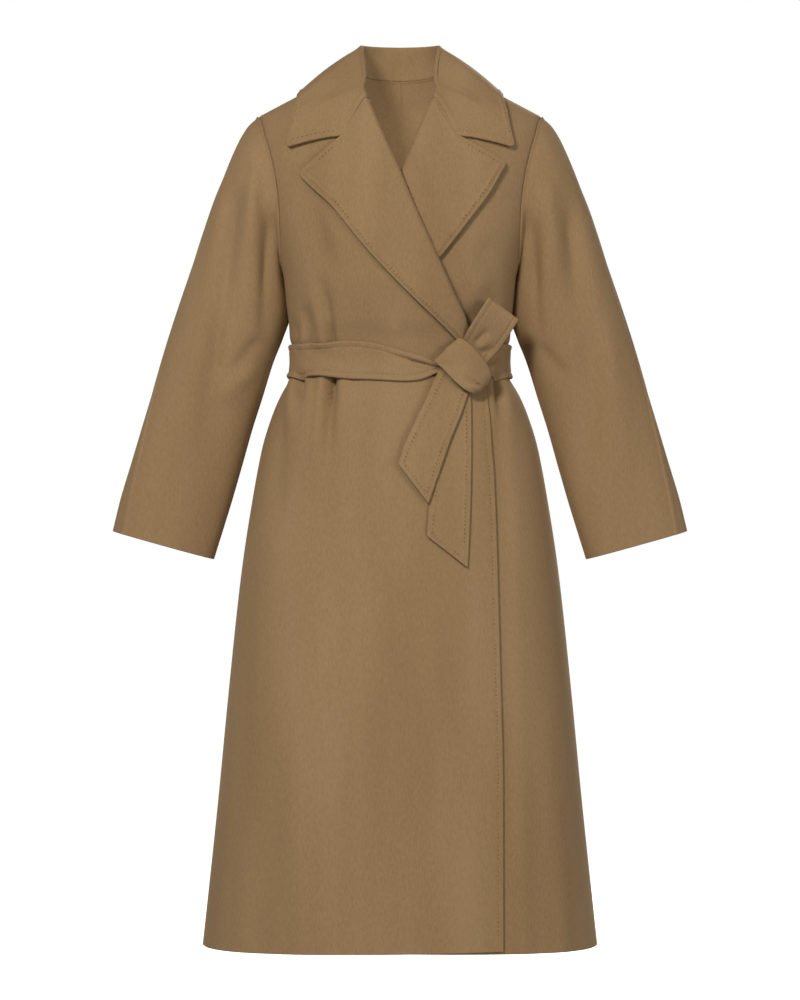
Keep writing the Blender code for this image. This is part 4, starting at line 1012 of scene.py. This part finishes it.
@dataclass
class Collar(CoatPiece):
    """The turned-down collar: its stand rises from the neck seam, folds over and falls to its own edge."""

    leaf_lift: float = 5.0 * MM
    edge_lift: float = 3.0 * MM
    tip_radius: float = 9.0 * MM
    gorge_length: float = 0.072
    step: float = 3.0 * MM
    row_step: float = 4.0 * MM
    parts: int = 2
    rows: tuple[CollarRow, ...] = table(
        CollarRow, 1.0,
        (0.0, 0.066, 0.044, 0.0, -0.002, 0.0, -0.052, 0.0),
        (0.021, 0.063, 0.044, 0.02, -0.001, 0.048, -0.0515, 0.0),
        (0.04, 0.05, 0.0434, 0.04, 0.001, 0.098, -0.0485, 0.0),
        (0.0545, 0.026, 0.0422, 0.0545, 0.006, 0.131, -0.04, 0.0),
        (0.0552, 0.004, 0.037, 0.06, 0.012, 0.1412, -0.0307, 0.5),
        (0.0535, -0.014, 0.025, 0.0598, 0.004, 0.1436, -0.042, 1.0),
        (0.0508, -0.034, 0.0063, 0.0594, -0.006, 0.1462, -0.058, 1.0),
        (0.0485, -0.056, -0.017, 0.0566, -0.018, 0.15, -0.08, 1.0),
        (0.047, -0.0755, -0.0395, 0.0512, -0.034, 0.1572, -0.1102, 1.0),
    )

    def pushed_out(self, place: Array, tree: BVHTree, share: float) -> Array:
        """The place, moved out until it is clear of the coat's body, the more the nearer it is to the edge."""
        near, normal, _, _ = tree.find_nearest(Vector(place))
        beside = float(ease(-0.030, -0.058, place[2]))
        lift = mix(3.0 * MM, self.leaf_lift + self.edge_lift * float(ease(0.3, 1.0, share)), beside)
        short = lift - (Vector(place) - near).dot(normal)
        return place + np.array(normal) * short if short > 0 else place

    def half(self, tree: BVHTree) -> Array:
        """One half on the side of +X: rows from the centre back, each from the neck seam over the fold to the edge."""
        numbers = np.arange((len(self.rows) - 1) * self.parts + 1) / self.parts
        t = refined(self.rows, numbers)
        fold_line = np.stack([t["fold_x"], t["fold_y"], t["fold_z"]], -1)
        last = len(numbers) - 1
        grid = []
        for i, number in enumerate(numbers):
            front_end = i == last
            face = Face.FRONT if t["turn"][i] > 0.5 else Face.BACK
            if abs(t["turn"][i] - 0.5) < 0.01:
                seam = np.array([self.body.neck[0] - 2.4 * MM, 0.0, self.body.neck[1] + 1.0 * MM])
                edge = self.body.surface(math.pi / 2, t["edge_z"][i], Face.FRONT, 3.0 * MM)
            else:
                inward = 3.0 * MM * float(ease(3, 6, number))
                seam = self.body.on_coat(t["seam_x"][i] - inward, t["seam_z"][i], face) + (0, 0, 1.1 * MM)
                edge = self.body.on_coat(t["edge_x"][i], t["edge_z"][i], face, self.leaf_lift)
            fold = fold_line[i]
            if front_end:
                fold = self.body.on_coat(fold[0], fold[2], Face.FRONT, MM)
            before, after = max(i - 1, 0), min(i + 1, last)
            way = unit(fold_line[after] - fold_line[before]) if i else np.array([1.0, 0.0, 0.0])
            out = unit((edge - fold) - way * np.dot(edge - fold, way))
            flat_out = unit(mix(unit(out * (1, 1, 0)), out, float(ease(4, 6, number))))
            rise = np.cross(way, flat_out)
            rise = rise if rise[2] > 0 else -rise
            if front_end:
                rise = np.array([0.0, -0.8, 0.6])
            inside = fold - flat_out * 2.2 * MM - rise * 2.0 * MM
            start = fold + flat_out * 2.6 * MM - rise * 1.4 * MM
            line = [seam, mix(seam, inside, 0.5), inside, fold + rise * 0.8 * MM, start]
            rolled = float(ease(6.2, 8, number))
            if rolled > 0:
                turned = np.array([t["seam_z"][after] - t["seam_z"][before], t["seam_x"][before] - t["seam_x"][after]])
                across = unit(turned) * -MM
                root = np.array(GORGE_TOP if front_end else (t["seam_x"][i], t["seam_z"][i]))
                for k, (step, height) in enumerate(ROLL_HOOK):
                    x, z = root + across * step
                    line[k] = mix(line[k], self.body.on_coat(x, z, Face.FRONT, height * MM), rolled)
                start = line[4]
            swell = start + (edge - start) * 0.42 + rise * np.linalg.norm(edge - start) * 0.10
            if front_end:
                swell = self.body.on_coat(GORGE_CORNER[0], GORGE_CORNER[1] + 0.6 * MM, Face.FRONT, self.leaf_lift)
            for j in range(1, 8):
                s = j / 7
                if front_end:
                    spot = mix(start, swell, j / 3) if j < 4 else mix(swell, edge, (j - 3) / 4)
                else:
                    spot = start * (1 - s) ** 2 + swell * 2 * s * (1 - s) + edge * s * s
                line.append(self.pushed_out(spot, tree, s))
            grid.append(line)
        return np.array(grid)

    def build(self) -> None:
        """Makes the collar in one piece across the centre back."""
        right = self.half(self.body.tree())
        left = right * (-1, 1, 1)
        coarse = np.concatenate([left[::-1], right[1:]])
        columns = np.concatenate([np.linspace(0, 4, 29)[:-1], 4 + 7 * spread(0.085, self.step, low=False)])
        rows = spread(0.55, self.row_step) * (len(coarse) - 1)
        grid = resampled(coarse, rows, columns)
        for end in (Edge.LOW, Edge.HIGH):
            grid = rounded_corner(grid, end, Edge.END, self.tip_radius)
        cloth = replace(LEAF, stitched=(Edge.END, Edge.LOW, Edge.HIGH), sewn_length=self.gorge_length)
        self.hand_over(cloth.shell("collar_cloth", grid), "collar", (0.58, 0.145), 0.066, "folded")


@dataclass
class Belt(CoatPiece):
    """The cloth belt: its stretch round the waist, the wrap of its tie, the half bow's loop and its two ends."""

    wall: float = 4.0 * MM
    loop_wall: float = 2.6 * MM
    top: float = -0.3785
    bottom: float = -0.4265
    lift: float = 4.7 * MM
    wrap_wall: float = 3.0 * MM
    wrap_crown: float = 5.0 * MM
    wrap_step: float = 1.4 * MM
    loop_flat_from: float = 0.108
    right_stretch: tuple[BeltStation, ...] = table(
        BeltStation, MM,
        (0.092, -0.398, -0.418, 5.2), (0.066, -0.3985, -0.4205, 4.8), (0.049, -0.4065, -0.421, 4.6),
        (0.03, -0.399, -0.4285, 4.4), (0.005, -0.392, -0.431, 4.2), (-0.034, -0.381, -0.429, 4.0),
        (-0.074, -0.3775, -0.4275, 3.9),
    )
    tail_front: tuple[StripRow, ...] = table(
        StripRow, MM,
        (0.0572, -0.4125, 0.0935, -0.4415, 9.6), (0.053, -0.421, 0.0905, -0.454, 10.0),
        (0.036, -0.458, 0.0815, -0.48, 10.4), (0.018, -0.496, 0.069, -0.51, 10.6),
        (0.007, -0.52, 0.055, -0.55, 10.4), (-0.0016, -0.546, 0.0385, -0.5985, 10.0),
    )
    tail_back: tuple[StripRow, ...] = table(
        StripRow, MM,
        (0.064, -0.432, 0.096, -0.452, 4.3), (0.06, -0.46, 0.0965, -0.467, 4.3), (0.053, -0.5, 0.0968, -0.508, 4.3),
        (0.046, -0.55, 0.0962, -0.562, 4.3), (0.0405, -0.6, 0.0945, -0.624, 4.2),
        (0.0372, -0.644, 0.0915, -0.686, 4.2),
    )
    loop: tuple[StripRow, ...] = table(
        StripRow, MM,
        (0.0855, -0.38, 0.1155, -0.408, 10.4), (0.0895, -0.3705, 0.1225, -0.402, 13.5),
        (0.0985, -0.356, 0.136, -0.3865, 17.0), (0.11, -0.337, 0.149, -0.368, 18.0),
        (0.119, -0.3235, 0.159, -0.352, 17.6), (0.1212, -0.3195, 0.1618, -0.348, 15.6),
        (0.1218, -0.319, 0.1622, -0.3475, 12.6), (0.1195, -0.3215, 0.16, -0.35, 9.8),
        (0.1075, -0.34, 0.1465, -0.368, 8.8), (0.0985, -0.354, 0.1355, -0.384, 8.7),
        (0.0925, -0.364, 0.128, -0.395, 8.7),
    )
    # The wrap runs from the tie's upper left, over the front, to where it is drawn in at the lower right.
    wrap: tuple[StripRow, ...] = table(
        StripRow, MM,
        (0.05, -0.4045, 0.08, -0.3765, 9.0), (0.0473, -0.405, 0.0807, -0.374, 13.5),
        (0.05, -0.4075, 0.086, -0.376, 18.0), (0.059, -0.415, 0.0981, -0.385, 22.0),
        (0.072, -0.429, 0.11, -0.3985, 24.0), (0.087, -0.4422, 0.119, -0.4101, 23.0),
        (0.0975, -0.4475, 0.1239, -0.423, 19.5), (0.1025, -0.448, 0.1225, -0.432, 15.0),
        (0.1035, -0.445, 0.1185, -0.437, 11.0),
    )
    creases: tuple[Fold, ...] = table(
        Fold, MM,
        (0.052, -0.413, -0.023, -0.3945, 0.0019, -5.0), (0.05, -0.418, -0.015, -0.404, 0.004, 2.6),
        (0.052, -0.4085, -0.01, -0.388, 0.004, 2.2), (0.052, -0.4165, 0.002, -0.411, 0.0017, -3.2),
        (0.123, -0.406, 0.145, -0.392, 0.0026, -2.2), (0.123, -0.411, 0.147, -0.406, 0.0026, 1.6),
        (0.106, -0.376, 0.129, -0.356, 0.0036, -3.4), (0.11, -0.384, 0.129, -0.372, 0.0036, 2.4),
        (0.114, -0.392, 0.133, -0.385, 0.003, -2.0), (-0.125, -0.39, -0.09, -0.396, 0.005, -1.2),
    )
    wrap_creases: tuple[Fold, ...] = table(
        Fold, MM,
        (0.1095, -0.437, 0.085, -0.4245, 0.0026, -4.6), (0.1085, -0.443, 0.088, -0.435, 0.0032, 2.0),
        (0.118, -0.433, 0.098, -0.413, 0.005, -1.6), (0.05, -0.408, 0.09, -0.418, 0.006, -1.6),
        (0.064, -0.386, 0.108, -0.412, 0.006, 1.2),
    )

    def waist_grid(self) -> Array:
        """The strip all round, from behind the tie over the right side and the back to the tie again."""
        share = np.linspace(0, 1, 5)
        lines = []
        for station in self.right_stretch:
            z = mix(station.bottom, station.top, share)
            lines.append(self.body.on_coat(station.x, z, Face.FRONT, station.lift))
        half = math.pi / 2
        stations = [(-angle, Face.FRONT) for angle in (0.70, 0.87, 1.04, 1.20, 1.34, 1.46, half)]
        stations += [(half * step / 9, Face.BACK) for step in range(-8, 9)]
        stations += [(angle, Face.FRONT) for angle in (half, 1.46, 1.34, 1.20, 1.04, 0.88, 0.72)]
        for angle, face in stations:
            lines.append(self.body.surface(angle, mix(self.bottom, self.top, share), face, self.lift))
        return np.array(lines)

    def strip_grid(self, rows: Sequence[StripRow], flat_from: float = 1.0, crown: float = 0.0) -> Array:
        """A loose length of belt before the coat.

        Args:
            rows: pairs of corners across it.
            flat_from: past this x it keeps its depth and leaves the coat's side.
            crown: how far its middle stands out beyond its edges.

        Returns:
            The coarse grid.
        """
        grid = []
        for row in rows:
            x = np.linspace(row.left_x, row.right_x, 5)
            z = np.linspace(row.left_z, row.right_z, 5)
            place = self.body.on_coat(np.minimum(x, flat_from), z, Face.FRONT, row.lift)
            bow = crown * (1 - (np.linspace(-1, 1, 5)) ** 2)
            grid.append(points(x, place[:, 1] + 0.35 * np.maximum(x - flat_from, 0.0) - bow, z))
        return np.array(grid)

    def dress(self, name: str, coarse: Array, length: float, width: float, stitched: Sequence[Edge], wall: float,
              end: bool, area: float, held: str, step: float = 2.4 * MM) -> None:
        """Refines one grid into a shell and hands it over.

        Args:
            name: the solid's name.
            coarse: its coarse grid, rows along the belt.
            length: the strip's length.
            width: its width.
            stitched: the borders with pick stitches.
            wall: its thickness, two layers of cloth pressed together.
            end: whether its last end shows, and so is fine.
            area: what shows of it.
            held: how it is held.
            step: distance between its columns and rows.
        """
        rows = spread(length, step, False, end) * (len(coarse) - 1)
        columns = spread(width, step) * (coarse.shape[1] - 1)
        grid = resampled(coarse, rows, columns)
        creases = self.wrap_creases if name == "belt_knot" else self.creases
        rise = self.body.fold_height(grid[..., 0], grid[..., 2], creases) * (grid[..., 1] < 0)
        cloth = Cloth(wall=wall, stitched=tuple(stitched), stitch_dip=0.7 * MM, roll=0.8, two_sided=True)
        facing = np.sign(np.sum(cloth.normals(grid) * (0, -1, 0), -1))
        grid = grid + cloth.normals(grid) * (rise * facing)[..., None]
        self.hand_over(cloth.shell(name + "_cloth", grid), name, (width, length), area, held)

    def build(self) -> None:
        """Makes the waist stretch, the two ends, the loop and the wrap."""
        sides = (Edge.START, Edge.END)
        around = (*sides, Edge.HIGH)
        front, back = self.strip_grid(self.tail_front), self.strip_grid(self.tail_back)
        loop = self.strip_grid(self.loop, self.loop_flat_from)
        wrap = self.strip_grid(self.wrap, crown=self.wrap_crown)
        self.dress("belt_waist", self.waist_grid(), 0.80, 0.048, sides, self.wall, False, 0.0384, "stretched")
        self.dress("belt_tail_front", front, 0.165, 0.050, around, self.wall, True, 0.0072, "hung")
        self.dress("belt_tail_back", back, 0.24, 0.053, around, self.wall, True, 0.0105, "hung")
        self.dress("belt_loop", loop, 0.15, 0.049, sides, self.loop_wall, False, 0.0065, "folded")
        self.dress("belt_knot", wrap, 0.09, 0.042, (), self.wrap_wall, False, 0.0036, "folded", self.wrap_step)


class Tone(Enum):
    """The wool's colours as sRGB hex."""

    LIGHT = "#A08360"
    MIDDLE = "#967955"
    DEEP = "#8B6E4B"
    THREAD = "#6C5032"
    SHEEN = "#CDB594"


def linear(hex_colour: str) -> tuple[float, float, float, float]:
    """An sRGB hex colour as linear red, green, blue and alpha."""
    parts = [int(hex_colour[i:i + 2], 16) / 255 for i in (1, 3, 5)]
    red, green, blue = (p / 12.92 if p <= 0.04045 else ((p + 0.055) / 1.055) ** 2.4 for p in parts)
    return (red, green, blue, 1.0)


def add_node(material: bpy.types.Material, kind: str, settings: dict[str, object] | None = None,
             inputs: dict[str | int, object] | None = None) -> bpy.types.Node:
    """Adds a node with its settings, values and links.

    Args:
        material: the material whose tree it joins.
        kind: Blender's node type.
        settings: properties of the node.
        inputs: for each socket, a value, or another node's output to link.

    Returns:
        The node.
    """
    tree = material.node_tree
    node = tree.nodes.new(kind)
    for name, value in (settings or {}).items():
        setattr(node, name, value)
    for name, value in (inputs or {}).items():
        if isinstance(value, bpy.types.NodeSocket):
            tree.links.new(value, node.inputs[name])
        else:
            node.inputs[name].default_value = value
    return node


def calculated(material: bpy.types.Material, operation: str, *values: object) -> bpy.types.NodeSocket:
    """The result of a Math node on these values or sockets."""
    return add_node(material, "ShaderNodeMath", {"operation": operation}, dict(enumerate(values))).outputs[0]


def ranged(material: bpy.types.Material, kind: str, *values: object) -> bpy.types.NodeSocket:
    """A Map Range node's result: value or socket, from low, from high, to low, to high."""
    settings = {"interpolation_type": kind}
    return add_node(material, "ShaderNodeMapRange", settings, dict(enumerate(values))).outputs[0]


def noise(material: bpy.types.Material, place: bpy.types.NodeSocket, stretch: tuple[float, float, float],
          size_mm: float, detail: float, roughness: float) -> bpy.types.NodeSocket:
    """Noise of this size over a place whose axes are scaled first.

    Args:
        material: the material.
        place: the point's place.
        stretch: the scale of each axis.
        size_mm: the noise's size.
        detail: how many finer layers it has.
        roughness: how strong they are.

    Returns:
        A socket from 0 to 1.
    """
    scaled = add_node(material, "ShaderNodeMapping", {}, {"Vector": place, "Scale": stretch})
    made = add_node(material, "ShaderNodeTexNoise", {}, {
        "Vector": scaled.outputs[0], "Scale": 1000 / size_mm, "Detail": detail, "Roughness": roughness})
    return made.outputs["Fac"]


def painted(name: str, inputs: dict[str, object]) -> bpy.types.Material:
    """A new material whose shader has these inputs."""
    made = bpy.data.materials.new(name)
    made.use_nodes = True
    for socket, value in inputs.items():
        made.node_tree.nodes["Principled BSDF"].inputs[socket].default_value = value
    return made


@dataclass(frozen=True)
class DoubleFaceWool:
    """Double-face wool, woven, milled and brushed to a short nap: matt, soft, a little lighter where it grazes."""

    name: str = "camel_double_face_wool"
    roughness: float = 0.92
    sheen: float = 0.18
    sheen_roughness: float = 0.45
    clouding_mm: float = 62.0
    nap_mm: float = 2.4  # the real fibres lie 0.02 mm apart; drawn this coarse so that the brushed surface shows
    nap_share: float = 0.54
    cloud_share: float = 0.46
    stitch_every_mm: float = 5.7
    stitch_long_mm: float = 2.3
    stitch_half_wide_mm: float = 0.75
    stitch_fading_mm: float = 14.0
    stitch_sink: float = -2.6

    def material(self) -> bpy.types.Material:
        """The cloth's material, with pick stitches wherever a piece's stitch map puts them."""
        made = painted(self.name, {
            "Roughness": self.roughness, "Metallic": 0.0, "IOR": 1.45, "Specular IOR Level": 0.22,
            "Sheen Weight": self.sheen, "Sheen Roughness": self.sheen_roughness, "Sheen Tint": linear(Tone.SHEEN.value),
        })
        shader = made.node_tree.nodes["Principled BSDF"]
        place = add_node(made, "ShaderNodeTexCoord").outputs["Object"]
        cloud = noise(made, place, (1.0, 0.7, 0.16), self.clouding_mm, 1.5, 0.4)
        nap = noise(made, place, (1.0, 1.0, 0.35), self.nap_mm, 4.0, 0.62)
        blend = calculated(made, "MULTIPLY_ADD", nap, self.nap_share, 0.0)
        total = calculated(made, "MULTIPLY_ADD", cloud, self.cloud_share, blend)
        tone = add_node(made, "ShaderNodeValToRGB", {}, {"Fac": total})
        ramp = tone.color_ramp
        ramp.elements[0].position, ramp.elements[1].position = 0.30, 0.70
        ramp.elements[0].color, ramp.elements[1].color = linear(Tone.DEEP.value), linear(Tone.LIGHT.value)
        ramp.elements.new(0.5).color = linear(Tone.MIDDLE.value)
        stitch = self.stitches(made, place)
        colour = add_node(made, "ShaderNodeMix", {"data_type": "RGBA"}, {
            0: stitch, 6: tone.outputs[0], 7: linear(Tone.THREAD.value)})
        made.node_tree.links.new(colour.outputs[2], shader.inputs["Base Color"])
        sunk = calculated(made, "MULTIPLY_ADD", stitch, self.stitch_sink, nap)
        bump = add_node(made, "ShaderNodeBump", {}, {"Height": sunk, "Strength": 0.35, "Distance": 0.35 * MM})
        made.node_tree.links.new(bump.outputs[0], shader.inputs["Normal"])
        return made

    def stitches(self, made: bpy.types.Material, place: bpy.types.NodeSocket) -> bpy.types.NodeSocket:
        """How much each point belongs to a pick stitch, from the piece's stitch map; some sink deeper than others.

        Args:
            made: the material.
            place: the point's place on the coat.

        Returns:
            A socket from 0 to 1.
        """
        where = add_node(made, "ShaderNodeUVMap", {"uv_map": "stitch"})
        away, along = add_node(made, "ShaderNodeSeparateXYZ", {}, {0: where.outputs[0]}).outputs[:2]
        half, long = self.stitch_half_wide_mm * MM, self.stitch_long_mm * MM / 2
        off = calculated(made, "ABSOLUTE", calculated(made, "SUBTRACT", away, Cloth.stitch_in))
        line = ranged(made, "SMOOTHSTEP", off, half * 0.5, half * 1.5, 1.0, 0.0)
        beat = calculated(made, "PINGPONG", along, self.stitch_every_mm * MM / 2)
        dash = ranged(made, "SMOOTHSTEP", beat, long * 0.7, long * 1.3, 1.0, 0.0)
        uneven = noise(made, place, (1.0, 1.0, 1.0), self.stitch_fading_mm, 1.0, 0.5)
        depth = ranged(made, "LINEAR", uneven, 0.36, 0.62, 0.0, 0.80)
        return calculated(made, "MULTIPLY", calculated(made, "MULTIPLY", line, dash), depth)


WHITE = (1.0, 1.0, 1.0, 1.0)


class Lamp(NamedTuple):
    """A square soft light: its name, where it stands, what it points at, its side and its power."""

    name: str
    place: tuple[float, float, float]
    aim: tuple[float, float, float]
    size: float
    watts: float


@dataclass(frozen=True)
class Studio:
    """A white studio: a self-lit floor and backdrop, a weak surround, the lights and the camera.

    The key light stands before the coat at the upper left, the fill light at its right, the third one behind it, and a
    very small one inside the neck.
    """

    floor_z: float = -1.60
    floor_size: float = 70.0
    floor_glow: float = 0.85
    backdrop_radius: float = 40.0
    backdrop_glow: float = 1.0
    surround: float = 0.24
    light_colour: tuple[float, float, float] = (1.0, 0.985, 0.96)
    lamps: tuple[Lamp, ...] = (
        Lamp("key_light", (-1.6, -3.8, 1.6), (0.0, 0.0, -0.60), 0.9, 130.0),
        Lamp("fill_light", (2.6, -3.3, -0.4), (0.0, 0.0, -0.6), 1.6, 40.0),
        Lamp("back_light", (1.5, 3.9, 1.3), (0.0, 0.0, -0.60), 1.6, 95.0),
        Lamp("inner_light", (0.0, -0.030, -0.115), (0.0, 0.12, -0.125), 0.06, 0.13),
    )
    camera_distance: float = 5.0
    camera_height: float = -0.595
    frame_height: float = 1.40
    sensor_mm: float = 36.0
    sight: float = 200.0

    def build(self) -> None:
        """Makes the floor, the surround, the backdrop, the lights and the camera."""
        self.floor()
        world = bpy.data.worlds.new("white_surround")
        world.use_nodes = True
        world.node_tree.nodes["Background"].inputs["Color"].default_value = WHITE
        world.node_tree.nodes["Background"].inputs["Strength"].default_value = self.surround
        bpy.context.scene.world = world
        self.dome()
        for lamp in self.lamps:
            self.area_light(lamp)
        camera = bpy.data.cameras.new("camera")
        camera.sensor_width = self.sensor_mm
        camera.lens = self.sensor_mm * self.camera_distance / self.frame_height
        camera.clip_end = self.sight
        holder = bpy.data.objects.new("camera", camera)
        holder.location = (0.0, -self.camera_distance, self.camera_height)
        holder.rotation_euler = (math.pi / 2, 0.0, 0.0)
        bpy.context.scene.collection.objects.link(holder)
        bpy.context.scene.camera = holder
        settings = bpy.context.scene.view_settings
        settings.view_transform = "Standard"
        settings.look = "None"
        settings.exposure = 0.0

    def floor(self) -> None:
        """Adds the white floor, which glows and throws no light back at the coat."""
        bpy.ops.mesh.primitive_plane_add(size=self.floor_size, location=(0.0, 0.0, self.floor_z))
        floor = bpy.context.active_object
        floor.name = "studio_floor"
        floor.data.materials.append(painted("matt_white_studio_paint", {
            "Base Color": linear("#F6F5F3"), "Roughness": 0.9, "Emission Color": WHITE,
            "Emission Strength": self.floor_glow}))
        floor.visible_diffuse = False

    def dome(self) -> None:
        """Adds the white backdrop, which is seen all round and lights nothing."""
        bpy.ops.mesh.primitive_uv_sphere_add(
            segments=48, ring_count=24, radius=self.backdrop_radius, location=(0.0, 0.0, self.floor_z))
        dome = bpy.context.active_object
        dome.name = "studio_backdrop"
        dome.data.materials.append(painted("even_white_backdrop", {
            "Base Color": (0.0, 0.0, 0.0, 1.0), "Roughness": 1.0, "Specular IOR Level": 0.0, "Emission Color": WHITE,
            "Emission Strength": self.backdrop_glow}))
        for kind in ("diffuse", "glossy", "transmission", "shadow"):
            setattr(dome, f"visible_{kind}", False)

    def area_light(self, lamp: Lamp) -> None:
        """Adds one light, which the camera doesn't see."""
        light = bpy.data.lights.new(lamp.name, "AREA")
        light.size = lamp.size
        light.energy = lamp.watts
        light.color = self.light_colour
        holder = bpy.data.objects.new(lamp.name, light)
        holder.location = lamp.place
        holder.rotation_euler = (Vector(lamp.aim) - Vector(lamp.place)).to_track_quat("-Z", "Y").to_euler()
        holder.visible_camera = False
        bpy.context.scene.collection.objects.link(holder)


def main() -> None:
    """Builds the coat's pieces in order, dresses them in wool and sets up the studio."""
    logging.basicConfig(level=logging.INFO, format="%(message)s")
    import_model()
    Studio().build()
    body = Body()
    wool = DoubleFaceWool().material()
    for part in (Panels(body), Sleeves(body), Lapels(body), Collar(body), Belt(body)):
        part.build()
        for piece in part.made:
            piece.data.materials.append(wool)
        LOG.info("%s: %d pieces", type(part).__name__, len(part.made))


if __name__ == "__main__":
    main()
